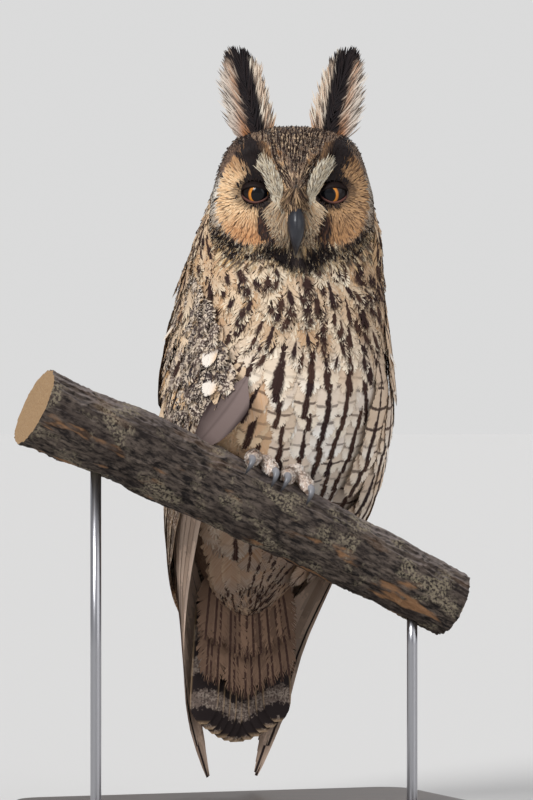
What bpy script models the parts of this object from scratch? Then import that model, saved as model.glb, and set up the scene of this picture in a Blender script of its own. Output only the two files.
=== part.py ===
"""A long-eared owl at rest on a cut length of branch, on a plain display stand.

Life size, in metres, +Z up. The origin is the middle of the base's underside.
The camera side is -Y, and the owl's own left is towards +X.
"""

import math

import bmesh
import bpy
import numpy as np

MM = 0.001

# Sizes that touch or part, in metres
GAP = 0.0003
SWELL = 0.00036
SLICE = 0.0003

# Where the owl's body axis stands over the base, and how far the body is turned to its own left
BODY_X = 0.0160
BODY_Y = 0.0086
BODY_TURN = 25.0

# Horizontal sections of the body and head in millimetres, from under the tail root to the crown:
# height, axis offset in X and Y, turn in degrees, half width, depth in front, depth behind
BODY_SECTIONS = (
    (112.0, -21.1, 45.3, 25.0, 0.0, 0.0, 0.0),
    (115.5, -21.1, 45.3, 25.0, 11.0, 7.0, 8.0),
    (130.0, -18.3, 44.4, 25.0, 26.0, 14.0, 13.0),
    (150.0, -13.2, 42.4, 25.0, 41.5, 23.0, 18.0),
    (170.0, -8.4, 35.8, 25.0, 53.5, 34.0, 25.0),
    (185.0, -6.0, 26.0, 25.0, 57.0, 40.0, 33.0),
    (200.0, -3.6, 13.8, 25.0, 58.5, 43.0, 43.0),
    (220.0, -1.2, 4.9, 25.0, 59.0, 47.0, 49.0),
    (240.0, 0.0, 0.0, 25.0, 59.5, 50.5, 50.0),
    (265.0, 0.8, -1.8, 25.0, 58.5, 48.5, 48.0),
    (290.0, 2.0, -3.6, 22.0, 56.5, 44.5, 45.5),
    (305.0, 2.6, -5.0, 17.0, 55.0, 41.0, 43.0),
    (318.0, 3.5, -7.0, 10.0, 53.5, 39.0, 41.5),
    (330.0, 4.6, -9.5, 5.0, 51.2, 38.5, 40.5),
    (340.0, 5.2, -11.0, 3.0, 47.8, 38.0, 40.0),
    (353.5, 6.2, -12.0, 3.0, 43.8, 36.0, 38.5),
    (369.0, 6.6, -12.0, 3.0, 39.0, 33.0, 35.5),
    (378.0, 6.8, -11.0, 3.0, 35.0, 29.5, 31.5),
    (384.6, 6.8, -10.0, 3.0, 28.0, 23.5, 25.5),
    (388.4, 6.6, -9.0, 3.0, 16.0, 13.5, 14.5),
    (389.6, 6.6, -8.5, 3.0, 0.0, 0.0, 0.0),
)
NECK_BASE = 0.300
HEAD_BASE = 0.3165
BODY_SQUARENESS = 2.25
HEAD_SQUARENESS = 3.0
BODY_SIDES = 30
TORSO_RINGS = 15

# The face, in the head's own turn: sideways from its middle, and up from the eyes
EYE_HEIGHT = 0.3520
EYE_SPREAD = 0.0206
EYE_RADIUS = 0.0095
EYE_DEPTH = 0.0218
EYE_OUTWARD = 12.0
EYE_OPEN_WIDE = 0.0070
EYE_OPEN_HIGH = 0.0041
LID_THICK = 0.0013
DISC_SPREAD = 0.0215
DISC_DROP = 0.0025
DISC_WIDE = 0.0205
DISC_HIGH = 0.0270
DISC_DEPTH = 0.0040
RIM_HIGH = 0.0016
RIM_SOFT = 0.13
RIDGE_HIGH = 0.0052
RIDGE_WIDE = 0.0058
BROW_HIGH = 0.0026
BROW_WIDE = 0.0036
HEAD_ROW = (6.4, -12.0, 3.0)

# The bill hangs from the ridge between the eyes
BILL_TOP = 0.3445
BILL_TIP = 0.3168
BILL_WIDE = 0.0052
BILL_DEEP = 0.0085

# Sections that the folded wings wrap round, below the body's own widest part:
# height, middle beside and behind the body axis, half width, depth in front, depth behind
WRAP_SECTIONS = (
    (0.0, 0.0, -61.0, 12.0, 7.0, 4.0),
    (20.0, 0.0, -60.0, 17.0, 9.0, 5.0),
    (40.0, 0.0, -58.0, 24.0, 12.0, 6.5),
    (60.0, 0.0, -55.0, 29.5, 15.0, 8.5),
    (90.0, 0.5, -50.0, 34.5, 18.0, 13.0),
    (120.0, 3.0, -45.0, 41.5, 22.0, 18.5),
    (150.0, 5.6, -38.0, 50.0, 29.0, 25.0),
    (170.0, 6.6, -30.0, 56.0, 35.0, 31.0),
    (185.0, 5.0, -21.0, 58.0, 40.0, 36.5),
    (200.0, 2.4, -12.5, 58.8, 43.0, 43.5),
    (215.0, 1.2, -7.0, 59.0, 46.0, 47.5),
    (230.0, 0.3, -2.0, 59.2, 49.0, 49.8),
)
# The folded wing's leading edge, round the body in degrees from straight ahead, at each height
LEADING_EDGE = (
    (0.0, 124.0),
    (20.0, 118.0),
    (40.0, 110.0),
    (60.0, 101.0),
    (90.0, 90.0),
    (120.0, 77.0),
    (150.0, 65.0),
    (170.0, 60.0),
    (200.0, 55.0),
    (225.0, 48.0),
    (250.0, 50.0),
    (280.0, 63.0),
    (300.0, 78.0),
    (318.0, 94.0),
)
WING_END_ANGLE = 178.0
WING_SHARE = 0.44
TAIL_SHARE = 0.62
TUFT_SHARE = 0.55
VANE_THICK = 0.0006
VANE_STEP = 0.0011
WING_CORE_TOP = 0.3120
WING_CORE_LOW = 0.2120
WING_CORE_BACK = 0.985
WING_CORE_THICK = 0.0058

# The perch: a point on its middle line between the feet, and how it lies
PERCH_X = 0.0224
PERCH_Y = -0.0174
PERCH_Z = 0.1688
PERCH_TURN = 20.0
PERCH_SLOPE = 25.0
PERCH_LEFT = -0.163
PERCH_RIGHT = 0.107
PERCH_RADIUS = 0.0215
PERCH_TAPER = 0.0030
PERCH_BOW = 0.0056
PERCH_SIDES = 16
PERCH_RINGS = 13

# Feet, along the perch from its named point
FOOT_MIDDLE = -0.0225
FOOT_SPREAD = 0.0115
TOE_RADIUS = 0.0040
TOE_ROOM_LONG = 0.0215
TOE_ROOM_HIGH = 0.0088
TARSUS_RADIUS = 0.0068
CLAW_RADIUS = 0.0017

# Tail
TAIL_TIP = 0.0413
TAIL_FEATHERS = 6
TAIL_HALF_SPREAD = 0.0245
TAIL_BACK = -0.0500
TAIL_LEAN = 0.0040

# Stand
BASE_LONG = 0.240
BASE_WIDE = 0.150
BASE_THICK = 0.012
BASE_CORNER = 0.018
ROD_RADIUS = 0.003
ROD_PLACES = (-0.125, 0.080)


def smooth_rows(sections, count=600):
    """Rows between the sections, on a curve that passes through each of them."""
    rows = np.array(sections, float)
    place = np.linspace(0, len(rows) - 1, count)
    low = np.clip(place.astype(int), 0, len(rows) - 2)
    part = (place - low)[:, None]
    before = rows[np.maximum(low - 1, 0)]
    start = rows[low]
    end = rows[low + 1]
    after = rows[np.minimum(low + 2, len(rows) - 1)]
    curve = 0.5 * (
        2 * start
        + (end - before) * part
        + (2 * before - 5 * start + 4 * end - after) * part**2
        + (3 * start - before - 3 * end + after) * part**3
    )
    curve[:, 0] = np.maximum.accumulate(curve[:, 0])
    return curve


def row_at(rows, height):
    """The row at a height in metres, without its first column."""
    return np.array([np.interp(height / MM, rows[:, 0], column) for column in rows[:, 1:].T])


BODY_ROWS = smooth_rows(BODY_SECTIONS)
WRAP_ROWS = smooth_rows(WRAP_SECTIONS)
EDGE_ROWS = smooth_rows(LEADING_EDGE)


def fade(value, low, high):
    """0 below low, 1 above high, and smooth between."""
    part = np.clip((value - low) / (high - low), 0.0, 1.0)
    return part * part * (3 - 2 * part)


def face_relief(side, up):
    """How far the face stands out, from sideways and upward places in metres."""
    away = np.abs(side)
    ring = np.hypot((away - DISC_SPREAD) / DISC_WIDE, (up + DISC_DROP) / DISC_HIGH)
    hollow = -DISC_DEPTH * np.clip(1 - ring**2, 0, 1)
    rim = RIM_HIGH * np.exp(-(((ring - 1) / RIM_SOFT) ** 2))
    along = fade(up, -0.030, -0.016) * (1 - fade(up, 0.010, 0.026))
    ridge = RIDGE_HIGH * np.exp(-((side / RIDGE_WIDE) ** 2)) * along
    brow_line = 0.004 + np.clip(up + 0.004, 0, 0.03) * 0.55
    on_brow = fade(up, -0.006, 0.004) * (1 - fade(up, 0.022, 0.030))
    brow = BROW_HIGH * np.exp(-(((away - brow_line) / BROW_WIDE) ** 2)) * on_brow
    return hollow + rim + np.maximum(ridge, brow)


def body_section(height, angles):
    """A ring of the body or head at a height. Angle 0 is straight ahead, and it grows to the owl's left."""
    shift_x, shift_y, turn, wide, front, back = row_at(BODY_ROWS, height)
    on_head = fade(height, HEAD_BASE - 0.004, EYE_HEIGHT - 0.012)
    squareness = BODY_SQUARENESS + (HEAD_SQUARENESS - BODY_SQUARENESS) * on_head
    sine, cosine = np.sin(angles), np.cos(angles)
    side = wide * MM * np.sign(sine) * np.abs(sine) ** (2 / squareness)
    depth = np.where(cosine > 0, front, back) * MM
    ahead = depth * np.sign(cosine) * np.abs(cosine) ** (2 / squareness)
    if wide > 1:
        shown = fade(cosine, 0.05, 0.45) * fade(height, HEAD_BASE - 0.001, HEAD_BASE + 0.006)
        ahead = ahead + face_relief(side, height - EYE_HEIGHT) * shown
    turned = math.radians(turn)
    x = BODY_X + shift_x * MM + side * math.cos(turned) + ahead * math.sin(turned)
    y = BODY_Y + shift_y * MM + side * math.sin(turned) - ahead * math.cos(turned)
    return np.column_stack([x, y, np.full(len(angles), height)])


def head_place(side, ahead, height):
    """A point of the head from its own sideways, forward and height places."""
    shift_x, shift_y, turn = HEAD_ROW
    turned = math.radians(turn)
    x = BODY_X + shift_x * MM + side * math.cos(turned) + ahead * math.sin(turned)
    y = BODY_Y + shift_y * MM + side * math.sin(turned) - ahead * math.cos(turned)
    return np.array([x, y, height])


def body_place(side, ahead, height):
    """A point from the body's own sideways, forward and height places."""
    turned = math.radians(BODY_TURN)
    x = BODY_X + side * math.cos(turned) + ahead * math.sin(turned)
    y = BODY_Y + side * math.sin(turned) - ahead * math.cos(turned)
    return np.array([x, y, height])


def unit(vector):
    return vector / np.linalg.norm(vector)


def material(name, colour, roughness, metallic=0.0):
    made = bpy.data.materials.new(name)
    made.use_nodes = True
    shader = made.node_tree.nodes["Principled BSDF"]
    shader.inputs["Base Color"].default_value = (*colour, 1.0)
    shader.inputs["Roughness"].default_value = roughness
    shader.inputs["Metallic"].default_value = metallic
    return made


def clear_scene():
    for obj in list(bpy.data.objects):
        bpy.data.objects.remove(obj)


def new_object(name, mesh):
    obj = bpy.data.objects.new(name, mesh)
    bpy.context.scene.collection.objects.link(obj)
    return obj


def from_bmesh(name, shape):
    bmesh.ops.recalc_face_normals(shape, faces=shape.faces)
    mesh = bpy.data.meshes.new(name)
    shape.to_mesh(mesh)
    shape.free()
    return new_object(name, mesh)


def loft(name, rings):
    """A closed body through rings of points. A ring of one point is a pole, and an end ring is capped flat."""
    shape = bmesh.new()
    loops = [[shape.verts.new(point) for point in ring] for ring in rings]
    for low, high in zip(loops, loops[1:]):
        count = max(len(low), len(high))
        for i in range(count):
            j = (i + 1) % count
            corners = [low[i % len(low)], low[j % len(low)], high[j % len(high)], high[i % len(high)]]
            corners = [v for k, v in enumerate(corners) if v not in corners[:k]]
            shape.faces.new(corners)
    for loop in (loops[0], loops[-1]):
        if len(loop) > 2:
            shape.faces.new(loop)
    bmesh.ops.triangulate(shape, faces=[f for f in shape.faces if len(f.verts) == 4])
    return from_bmesh(name, shape)


def tube(name, path, radii, sides, flat=1.0, up=(0.0, 0.0, 1.0)):
    """A closed tube along a path. A radius of 0 at an end makes a point; flat squeezes it along up."""
    path = np.array(path, float)
    rings = []
    ahead = np.gradient(path, axis=0)
    for point, way, radius in zip(path, ahead, radii):
        if radius == 0:
            rings.append([point])
            continue
        way = unit(way)
        across = unit(np.cross(way, np.array(up, float)))
        over = np.cross(across, way)
        turn = np.linspace(0, 2 * math.pi, sides, endpoint=False)
        rings.append(
            point + radius * (np.outer(np.cos(turn), across) + flat * np.outer(np.sin(turn), over))
        )
    return loft(name, rings)


def ball(name, centre, radius, way=(0.0, -1.0, 0.0), sides=20, rings=12, stretch=(1.0, 1.0, 1.0)):
    """A closed ball whose pole points along way."""
    way = unit(np.array(way, float))
    aside = [0.0, 1.0, 0.0] if abs(way[2]) > 0.9 else [0.0, 0.0, 1.0]
    across = unit(np.cross(way, aside))
    over = np.cross(across, way)
    tilt = np.linspace(0, math.pi, rings + 1)
    turn = np.linspace(0, 2 * math.pi, sides, endpoint=False)
    made = []
    for angle in tilt:
        middle = np.array(centre) + way * math.cos(angle) * radius * stretch[2]
        if angle in (tilt[0], tilt[-1]):
            made.append([middle])
            continue
        wide = radius * math.sin(angle)
        made.append(
            middle
            + wide * stretch[0] * np.outer(np.cos(turn), across)
            + wide * stretch[1] * np.outer(np.sin(turn), over)
        )
    return loft(name, made)


def apply_modifiers(obj):
    graph = bpy.context.evaluated_depsgraph_get()
    mesh = bpy.data.meshes.new_from_object(obj.evaluated_get(graph))
    obj.modifiers.clear()
    obj.data = mesh


def remove(*objects):
    for obj in objects:
        bpy.data.objects.remove(obj)


def keep_largest(obj):
    """Keeps the largest closed surface of the object, which drops loose scraps and sealed hollows."""
    shape = bmesh.new()
    shape.from_mesh(obj.data)
    left = set(shape.verts)
    groups = []
    while left:
        group = {left.pop()}
        front = list(group)
        while front:
            for edge in front.pop().link_edges:
                for vert in edge.verts:
                    if vert in left:
                        left.discard(vert)
                        group.add(vert)
                        front.append(vert)
        groups.append(group)
    keep = max(groups, key=lambda g: sum(f.calc_area() for v in g for f in v.link_faces))
    extra = [v for v in shape.verts if v not in keep]
    bmesh.ops.delete(shape, geom=extra, context="VERTS")
    shape.to_mesh(obj.data)
    shape.free()


def combine(obj, others, operation, solver="EXACT"):
    """A union, or a cut by others, applied to obj. The other objects are then removed."""
    held = bpy.data.collections.new("pieces")
    bpy.context.scene.collection.children.link(held)
    for other in others:
        bpy.context.scene.collection.objects.unlink(other)
        held.objects.link(other)
    modifier = obj.modifiers.new("combine", "BOOLEAN")
    modifier.operation = operation
    modifier.solver = solver
    modifier.operand_type = "COLLECTION"
    modifier.collection = held
    apply_modifiers(obj)
    remove(*others)
    bpy.data.collections.remove(held)
    return obj


def fuse(name, pieces, solver="EXACT"):
    """One closed body from overlapping pieces."""
    base = pieces[0]
    combine(base, pieces[1:], "UNION", solver)
    keep_largest(base)
    base.name = name
    return base


def thin_out(obj, share):
    """Merges small triangles until a share of them is left."""
    modifier = obj.modifiers.new("thin_out", "DECIMATE")
    modifier.ratio = share
    apply_modifiers(obj)
    keep_largest(obj)
    return obj


def cut(obj, *cutters):
    for cutter in cutters:
        combine(obj, [cutter], "DIFFERENCE")
    keep_largest(obj)
    return obj


def pushed(obj, distance):
    """A copy of the object whose surface stands out by a distance, to cut its neighbours with."""
    mesh = obj.data.copy()
    copy = new_object(obj.name + "_swollen", mesh)
    shape = bmesh.new()
    shape.from_mesh(mesh)
    shape.normal_update()
    moves = [(vert, vert.normal * distance * vert.calc_shell_factor()) for vert in shape.verts]
    for vert, move in moves:
        vert.co += move
    shape.to_mesh(mesh)
    shape.free()
    return copy


def finish(obj, name, look, smooth_angle=40.0):
    obj.name = name
    obj.data.name = name
    obj.data.materials.clear()
    obj.data.materials.append(look)
    obj.data.shade_smooth()
    obj.data.set_sharp_from_angle(angle=math.radians(smooth_angle))
    return obj


# Body and head


def torso_heights():
    low, high = BODY_SECTIONS[0][0] * MM, NECK_BASE
    part = np.linspace(0, 1, TORSO_RINGS)
    return low + (high - low) * part**1.25


def face_angles():
    """Angles round the head, close together over the face and wide apart behind it."""
    front = np.linspace(-72, 72, 27)
    back = np.linspace(72, 288, 13)[1:-1]
    return np.radians(np.concatenate([front, back]))


def head_heights():
    """Heights of the head's rings, closer together at the crown's turn."""
    face = np.linspace(HEAD_BASE, 0.3780, 16)
    crown = np.array([0.3815, 0.3848, 0.3872, 0.3888])
    return np.concatenate([face, crown])


def body_rings(heights, angles):
    return [body_section(height, angles) for height in heights]


def build_body():
    """The torso, neck and head, each closed, and one swollen body that cuts what rests on them."""
    round_angles = np.linspace(0, 2 * math.pi, BODY_SIDES, endpoint=False)
    low_pole = [body_section(BODY_SECTIONS[0][0] * MM, round_angles)[0]]
    crown_pole = [body_section(BODY_SECTIONS[-1][0] * MM, round_angles)[0]]
    torso = loft("torso", [low_pole] + body_rings(torso_heights()[1:], round_angles))
    neck_heights = np.linspace(NECK_BASE + SLICE, HEAD_BASE - SLICE, 4)
    neck = loft("neck", body_rings(neck_heights, round_angles))
    head = loft("head", body_rings(head_heights(), face_angles()) + [crown_pole])
    below = np.concatenate([torso_heights()[1:], np.linspace(NECK_BASE, HEAD_BASE, 5)[1:]])
    under = loft("under", [low_pole] + body_rings(below, round_angles))
    low_cutter = pushed(under, SWELL)
    high_cutter = pushed(head, SWELL)
    remove(under)
    return torso, neck, head, low_cutter, high_cutter


def eye_frame(sign):
    """The centre of an eyeball and the way it looks. Sign is 1 for the owl's left."""
    centre = head_place(sign * EYE_SPREAD, EYE_DEPTH, EYE_HEIGHT)
    turned = math.radians(HEAD_ROW[2] + sign * EYE_OUTWARD)
    way = np.array([math.sin(turned), -math.cos(turned), 0.0])
    return centre, way


def build_eyes(head):
    """Eyeballs in sockets of the head, behind lids with an almond opening."""
    lids = []
    sockets = []
    eyes = []
    for sign in (-1, 1):
        centre, way = eye_frame(sign)
        lids.append(ball("lid", centre, EYE_RADIUS + LID_THICK, way, 16, 10))
        sockets.append(ball("socket", centre, EYE_RADIUS + 2 * GAP, way, 18, 12))
        across = unit(np.cross(way, [0.0, 0.0, 1.0]))
        turn = np.linspace(0, 2 * math.pi, 16, endpoint=False)
        outline = EYE_OPEN_WIDE * np.outer(np.cos(turn), across)
        outline = outline + EYE_OPEN_HIGH * np.outer(np.sin(turn), [0.0, 0.0, 1.0])
        sockets.append(loft("opening", [centre + outline + way * d for d in (0.002, 0.030)]))
        eyes.append(ball("eye", centre, EYE_RADIUS, way, 16, 10))
    fuse("head", [head] + lids)
    cut(head, *sockets)
    return eyes


def build_bill(head_cutter):
    """The hooked upper bill with its nostrils, and the lower bill closed behind it."""
    drop = np.linspace(0, 1, 9)
    height = BILL_TOP + (BILL_TIP - BILL_TOP) * drop
    ahead = 0.0365 + 0.0090 * np.sin(np.radians(15 + 125 * drop)) - 0.004 * drop**3
    path = np.array([head_place(0.0, a, h) for a, h in zip(ahead, height)])
    radii = BILL_WIDE * np.array([0.82, 0.98, 1.0, 0.96, 0.86, 0.70, 0.50, 0.26, 0.0])
    upper = tube("bill_upper", path, radii, 14, BILL_DEEP / BILL_WIDE * 0.72, (0.0, 1.0, 0.0))
    low_part = np.linspace(0, 1, 6)
    low_path = [
        head_place(0.0, 0.0350 + 0.004 * math.sin(math.pi * p), 0.3345 - 0.0125 * p) for p in low_part
    ]
    low_radii = [0.0036, 0.0038, 0.0036, 0.0030, 0.0020, 0.0009]
    lower = tube("bill_lower", low_path, low_radii, 12, 0.8, (0.0, 1.0, 0.0))
    cut(lower, pushed(upper, SWELL), head_cutter())
    nostrils = [
        ball("nostril", head_place(sign * 0.0040, 0.0452, 0.3395), 0.0011, (0, -1, 0), 8, 6)
        for sign in (-1, 1)
    ]
    cut(upper, head_cutter(), *nostrils)
    return upper, lower


# Feathers


def vane(path, across, over, half_widths, thick, tilt=0.0):
    """A flat feather: a thin closed strip along a path, with its two faces split alike.
    Tilt lifts the edge on the across side, in metres, and drops the other by as much."""
    path = np.array(path, float)
    tilt = np.broadcast_to(tilt, len(path))
    rings = []
    for i, point in enumerate(path):
        wide = half_widths[i]
        lift = tilt[i]
        half = over[i] * thick[i] / 2
        left = point + across[i] * wide + over[i] * lift
        right = point - across[i] * wide - over[i] * lift
        rings.append([left - half, right - half, right + half, left + half])
    shape = bmesh.new()
    loops = [[shape.verts.new(corner) for corner in ring] for ring in rings]
    for low, high in zip(loops, loops[1:]):
        faces = (
            (low[0], low[1], high[1]),
            (low[0], high[1], high[0]),
            (low[3], high[2], low[2]),
            (low[3], high[3], high[2]),
            (low[1], low[2], high[2]),
            (low[1], high[2], high[1]),
            (low[3], low[0], high[0]),
            (low[3], high[0], high[3]),
        )
        for corners in faces:
            shape.faces.new(corners)
    for loop in (loops[0], loops[-1]):
        shape.faces.new((loop[0], loop[1], loop[2]))
        shape.faces.new((loop[0], loop[2], loop[3]))
    return from_bmesh("vane", shape)


def vane_widths(parts, half_width, round_tip):
    """Half widths along a feather: narrow at the root, full in the middle, and rounded to the tip."""
    root = 0.55 + 0.45 * fade(parts, 0.0, 0.35)
    tip = np.sqrt(np.clip(1 - np.clip((parts - round_tip) / (1.0 - round_tip), 0, 0.985) ** 2, 0, 1))
    return half_width * root * tip


def wrap_frame(height):
    """The centre, turn and half sizes of the surface that the wings lie on, at a height."""
    if height > WRAP_SECTIONS[-1][0] * MM:
        shift_x, shift_y, turn, wide, front, back = row_at(BODY_ROWS, height)
        centre = np.array([BODY_X + shift_x * MM, BODY_Y + shift_y * MM])
    else:
        beside, behind, wide, front, back = row_at(WRAP_ROWS, height)
        turn = BODY_TURN
        centre = body_place(beside * MM, behind * MM, height)[:2]
    return centre, math.radians(turn), wide * MM, front * MM, back * MM


def wrap_reach(height):
    """How far the wing goes round the body at a height, from its leading edge to the middle of the back."""
    centre, turned, wide, front, back = wrap_frame(height)
    edge = row_at(EDGE_ROWS, height)[0]
    return math.radians(WING_END_ANGLE - edge) * (wide + back) / 2


def wrap_place(height, share, lift, sign):
    """A point on the folded wing: a share of the way from its leading edge to the middle of the back,
    and lifted off the body by some metres."""
    centre, turned, wide, front, back = wrap_frame(height)
    edge = row_at(EDGE_ROWS, height)[0]
    angle = math.radians(edge + (WING_END_ANGLE - edge) * share)
    sine, cosine = math.sin(angle), math.cos(angle)
    depth = front if cosine > 0 else back
    side = (wide + lift) * abs(sine) ** (2 / BODY_SQUARENESS) * math.copysign(1, sine) * sign
    ahead = (depth + lift) * math.copysign(abs(cosine) ** (2 / BODY_SQUARENESS), cosine)
    x = centre[0] + side * math.cos(turned) + ahead * math.sin(turned)
    y = centre[1] + side * math.sin(turned) - ahead * math.cos(turned)
    return np.array([x, y, height])


def wrap_vane(middle, pitch, half_width, sign, round_tip):
    """A feather on the folded wing along its middle line, given as rows of (height, share, lift).
    Pitch is the way to the next feather at each row. The feather's rear edge dips by one step of the
    tier for each pitch, so that it passes under the feather behind it."""
    path = np.array([wrap_place(*place, sign) for place in middle])
    along = np.gradient(path, axis=0)
    lifted = np.array([wrap_place(h, q, lift + 0.002, sign) for h, q, lift in middle]) - path
    front = np.array([wrap_place(h, q - 0.03, lift, sign) for h, q, lift in middle]) - path
    over = np.cross(along, front)
    over = over / np.linalg.norm(over, axis=1)[:, None]
    over = over * np.sign(np.sum(over * lifted, axis=1))[:, None]
    across = np.cross(along, over)
    across = across / np.linalg.norm(across, axis=1)[:, None]
    across = across * np.sign(np.sum(across * front, axis=1))[:, None]
    parts = (middle[0, 0] - middle[:, 0]) / (middle[0, 0] - middle[-1, 0])
    widths = np.minimum(vane_widths(parts, half_width, round_tip), pitch * 1.1 + 0.0030 * fade(parts, 0.7, 0.95))
    thick = VANE_THICK * (1 - 0.40 * fade(parts, 0.6, 1.0))
    return vane(path, across, over, widths, thick, VANE_STEP * widths / pitch)


def wing_core(sign):
    """The arm of the wing under its coverts: a rounded slab on the body, sunk a little into it."""
    heights = np.linspace(WING_CORE_LOW, WING_CORE_TOP, 8)
    rings = []
    for height in heights:
        part = (height - WING_CORE_LOW) / (WING_CORE_TOP - WING_CORE_LOW)
        plump = math.sin(math.pi * (0.10 + 0.84 * part)) ** 0.6
        across = np.linspace(0.03 + 0.03 * abs(2 * part - 1) ** 2, WING_CORE_BACK - 0.10 * part**2, 8)
        round_off = np.sin(np.linspace(0.18, math.pi - 0.18, 8)) ** 0.55
        outer = [wrap_place(height, q, WING_CORE_THICK * plump * r, sign) for q, r in zip(across, round_off)]
        inner = [wrap_place(height, q, -0.0025, sign) for q in across[::-1]]
        rings.append(np.array(outer + inner))
    return loft("wing_core", rings)


def tier(sign, count, root, tip, half_width, steps, round_tip, tips=None):
    """A row of feathers from the front one to the rear one. Root and tip hold the front and the rear
    feather's (height, share, lift), and tips may set each feather's tip height. The feathers share the
    heights of their rings, so that neighbours bend alike and stay apart."""
    ends = []
    for i in range(count):
        part = i / max(1, count - 1)
        start = np.array(root[0]) * (1 - part) + np.array(root[1]) * part
        stop = np.array(tip[0]) * (1 - part) + np.array(tip[1]) * part
        if tips:
            stop[0] = tips[i]
        ends.append((start, stop))
    made = []
    levels = np.linspace(max(e[0][0] for e in ends), min(e[1][0] for e in ends), steps)
    for i, (start, stop) in enumerate(ends):
        fall = start[0] - stop[0]
        heights = [start[0]] + [z for z in levels if stop[0] + 0.22 * fall / steps * 2 < z < start[0] - 0.002]
        heights += [stop[0] + 0.045 * fall, stop[0]]
        middle = np.array([start + (stop - start) * (start[0] - z) / fall for z in heights])
        spaces = []
        for near in (i - 1, i + 1):
            if 0 <= near < count:
                low, high = ends[near][1], ends[near][0]
                shares = np.interp(middle[:, 0], (low[0], high[0]), (low[1], high[1]))
                spaces.append(np.abs(shares - middle[:, 1]))
        reach = np.array([wrap_reach(height) for height in middle[:, 0]])
        pitch = np.maximum(np.min(spaces, axis=0) * reach, 0.0024)
        made.append(wrap_vane(middle, pitch, half_width, sign, round_tip))
    return made


PRIMARY_TIPS = (0.0370, 0.0200, 0.0260, 0.0390, 0.0520, 0.0650, 0.0780, 0.0920)


def wing_feathers(sign):
    """All feathers of one folded wing, from the primaries under all to the scapulars over all."""
    made = []
    made += tier(
        sign, 8, ((0.222, 0.050, 0.0018), (0.218, 0.36, 0.0018)), ((0.02, 0.14, 0.0022), (0.02, 0.62, 0.0022)),
        0.0054, 6, 0.66, PRIMARY_TIPS,
    )
    made += tier(
        sign, 7, ((0.228, 0.13, 0.0036), (0.226, 0.80, 0.0036)), ((0.128, 0.32, 0.0058), (0.120, 0.92, 0.0058)),
        0.0066, 5, 0.76,
    )
    made += tier(
        sign, 3, ((0.236, 0.76, 0.0044), (0.236, 0.93, 0.0044)), ((0.136, 0.83, 0.0088), (0.158, 0.985, 0.0088)),
        0.0080, 5, 0.76,
    )
    made += tier(
        sign, 7, ((0.240, 0.10, 0.0038), (0.240, 0.84, 0.0038)), ((0.205, 0.115, 0.0080), (0.194, 0.88, 0.0088)),
        0.0088, 4, 0.70,
    )
    made += tier(
        sign, 2, ((0.246, 0.035, 0.0026), (0.244, 0.080, 0.0030)), ((0.214, 0.030, 0.0052), (0.200, 0.100, 0.0056)),
        0.0050, 4, 0.70,
    )
    made += tier(
        sign, 7, ((0.270, 0.10, 0.0042), (0.270, 0.84, 0.0042)), ((0.240, 0.10, 0.0080), (0.234, 0.88, 0.0086)),
        0.0088, 4, 0.66,
    )
    made += tier(
        sign, 6, ((0.298, 0.10, 0.0036), (0.298, 0.70, 0.0036)), ((0.266, 0.10, 0.0076), (0.264, 0.74, 0.0082)),
        0.0092, 4, 0.62,
    )
    made += tier(
        sign, 5, ((0.286, 0.60, 0.0044), (0.286, 0.93, 0.0036)), ((0.184, 0.76, 0.0112), (0.216, 0.985, 0.0112)),
        0.0098, 5, 0.68,
    )
    return made


def build_wing(name, sign, cutters):
    """A folded wing, kept to its own side of the back's middle."""
    wing = thin_out(fuse(name, [wing_core(sign)] + wing_feathers(sign)), WING_SHARE)
    far = body_place(-sign * 0.0600, -0.05, 0.0)
    turned = math.radians(BODY_TURN)
    across = np.array([math.cos(turned), math.sin(turned), 0.0]) * 0.0597
    behind = np.array([-math.sin(turned), math.cos(turned), 0.0]) * 0.12
    corners = [far - across - behind, far + across - behind, far + across + behind, far - across + behind]
    other_side = loft("other_side", [np.array(corners) + [0.0, 0.0, z] for z in (-0.01, 0.34)])
    cut(wing, other_side, *[make() for make in cutters])
    return wing


def tail_place(side, behind, height):
    """A point of the tail, which leans a little backwards as it hangs."""
    lean = TAIL_LEAN * (0.140 - height) / 0.1
    return body_place(side, TAIL_BACK - lean - behind, height)


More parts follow.
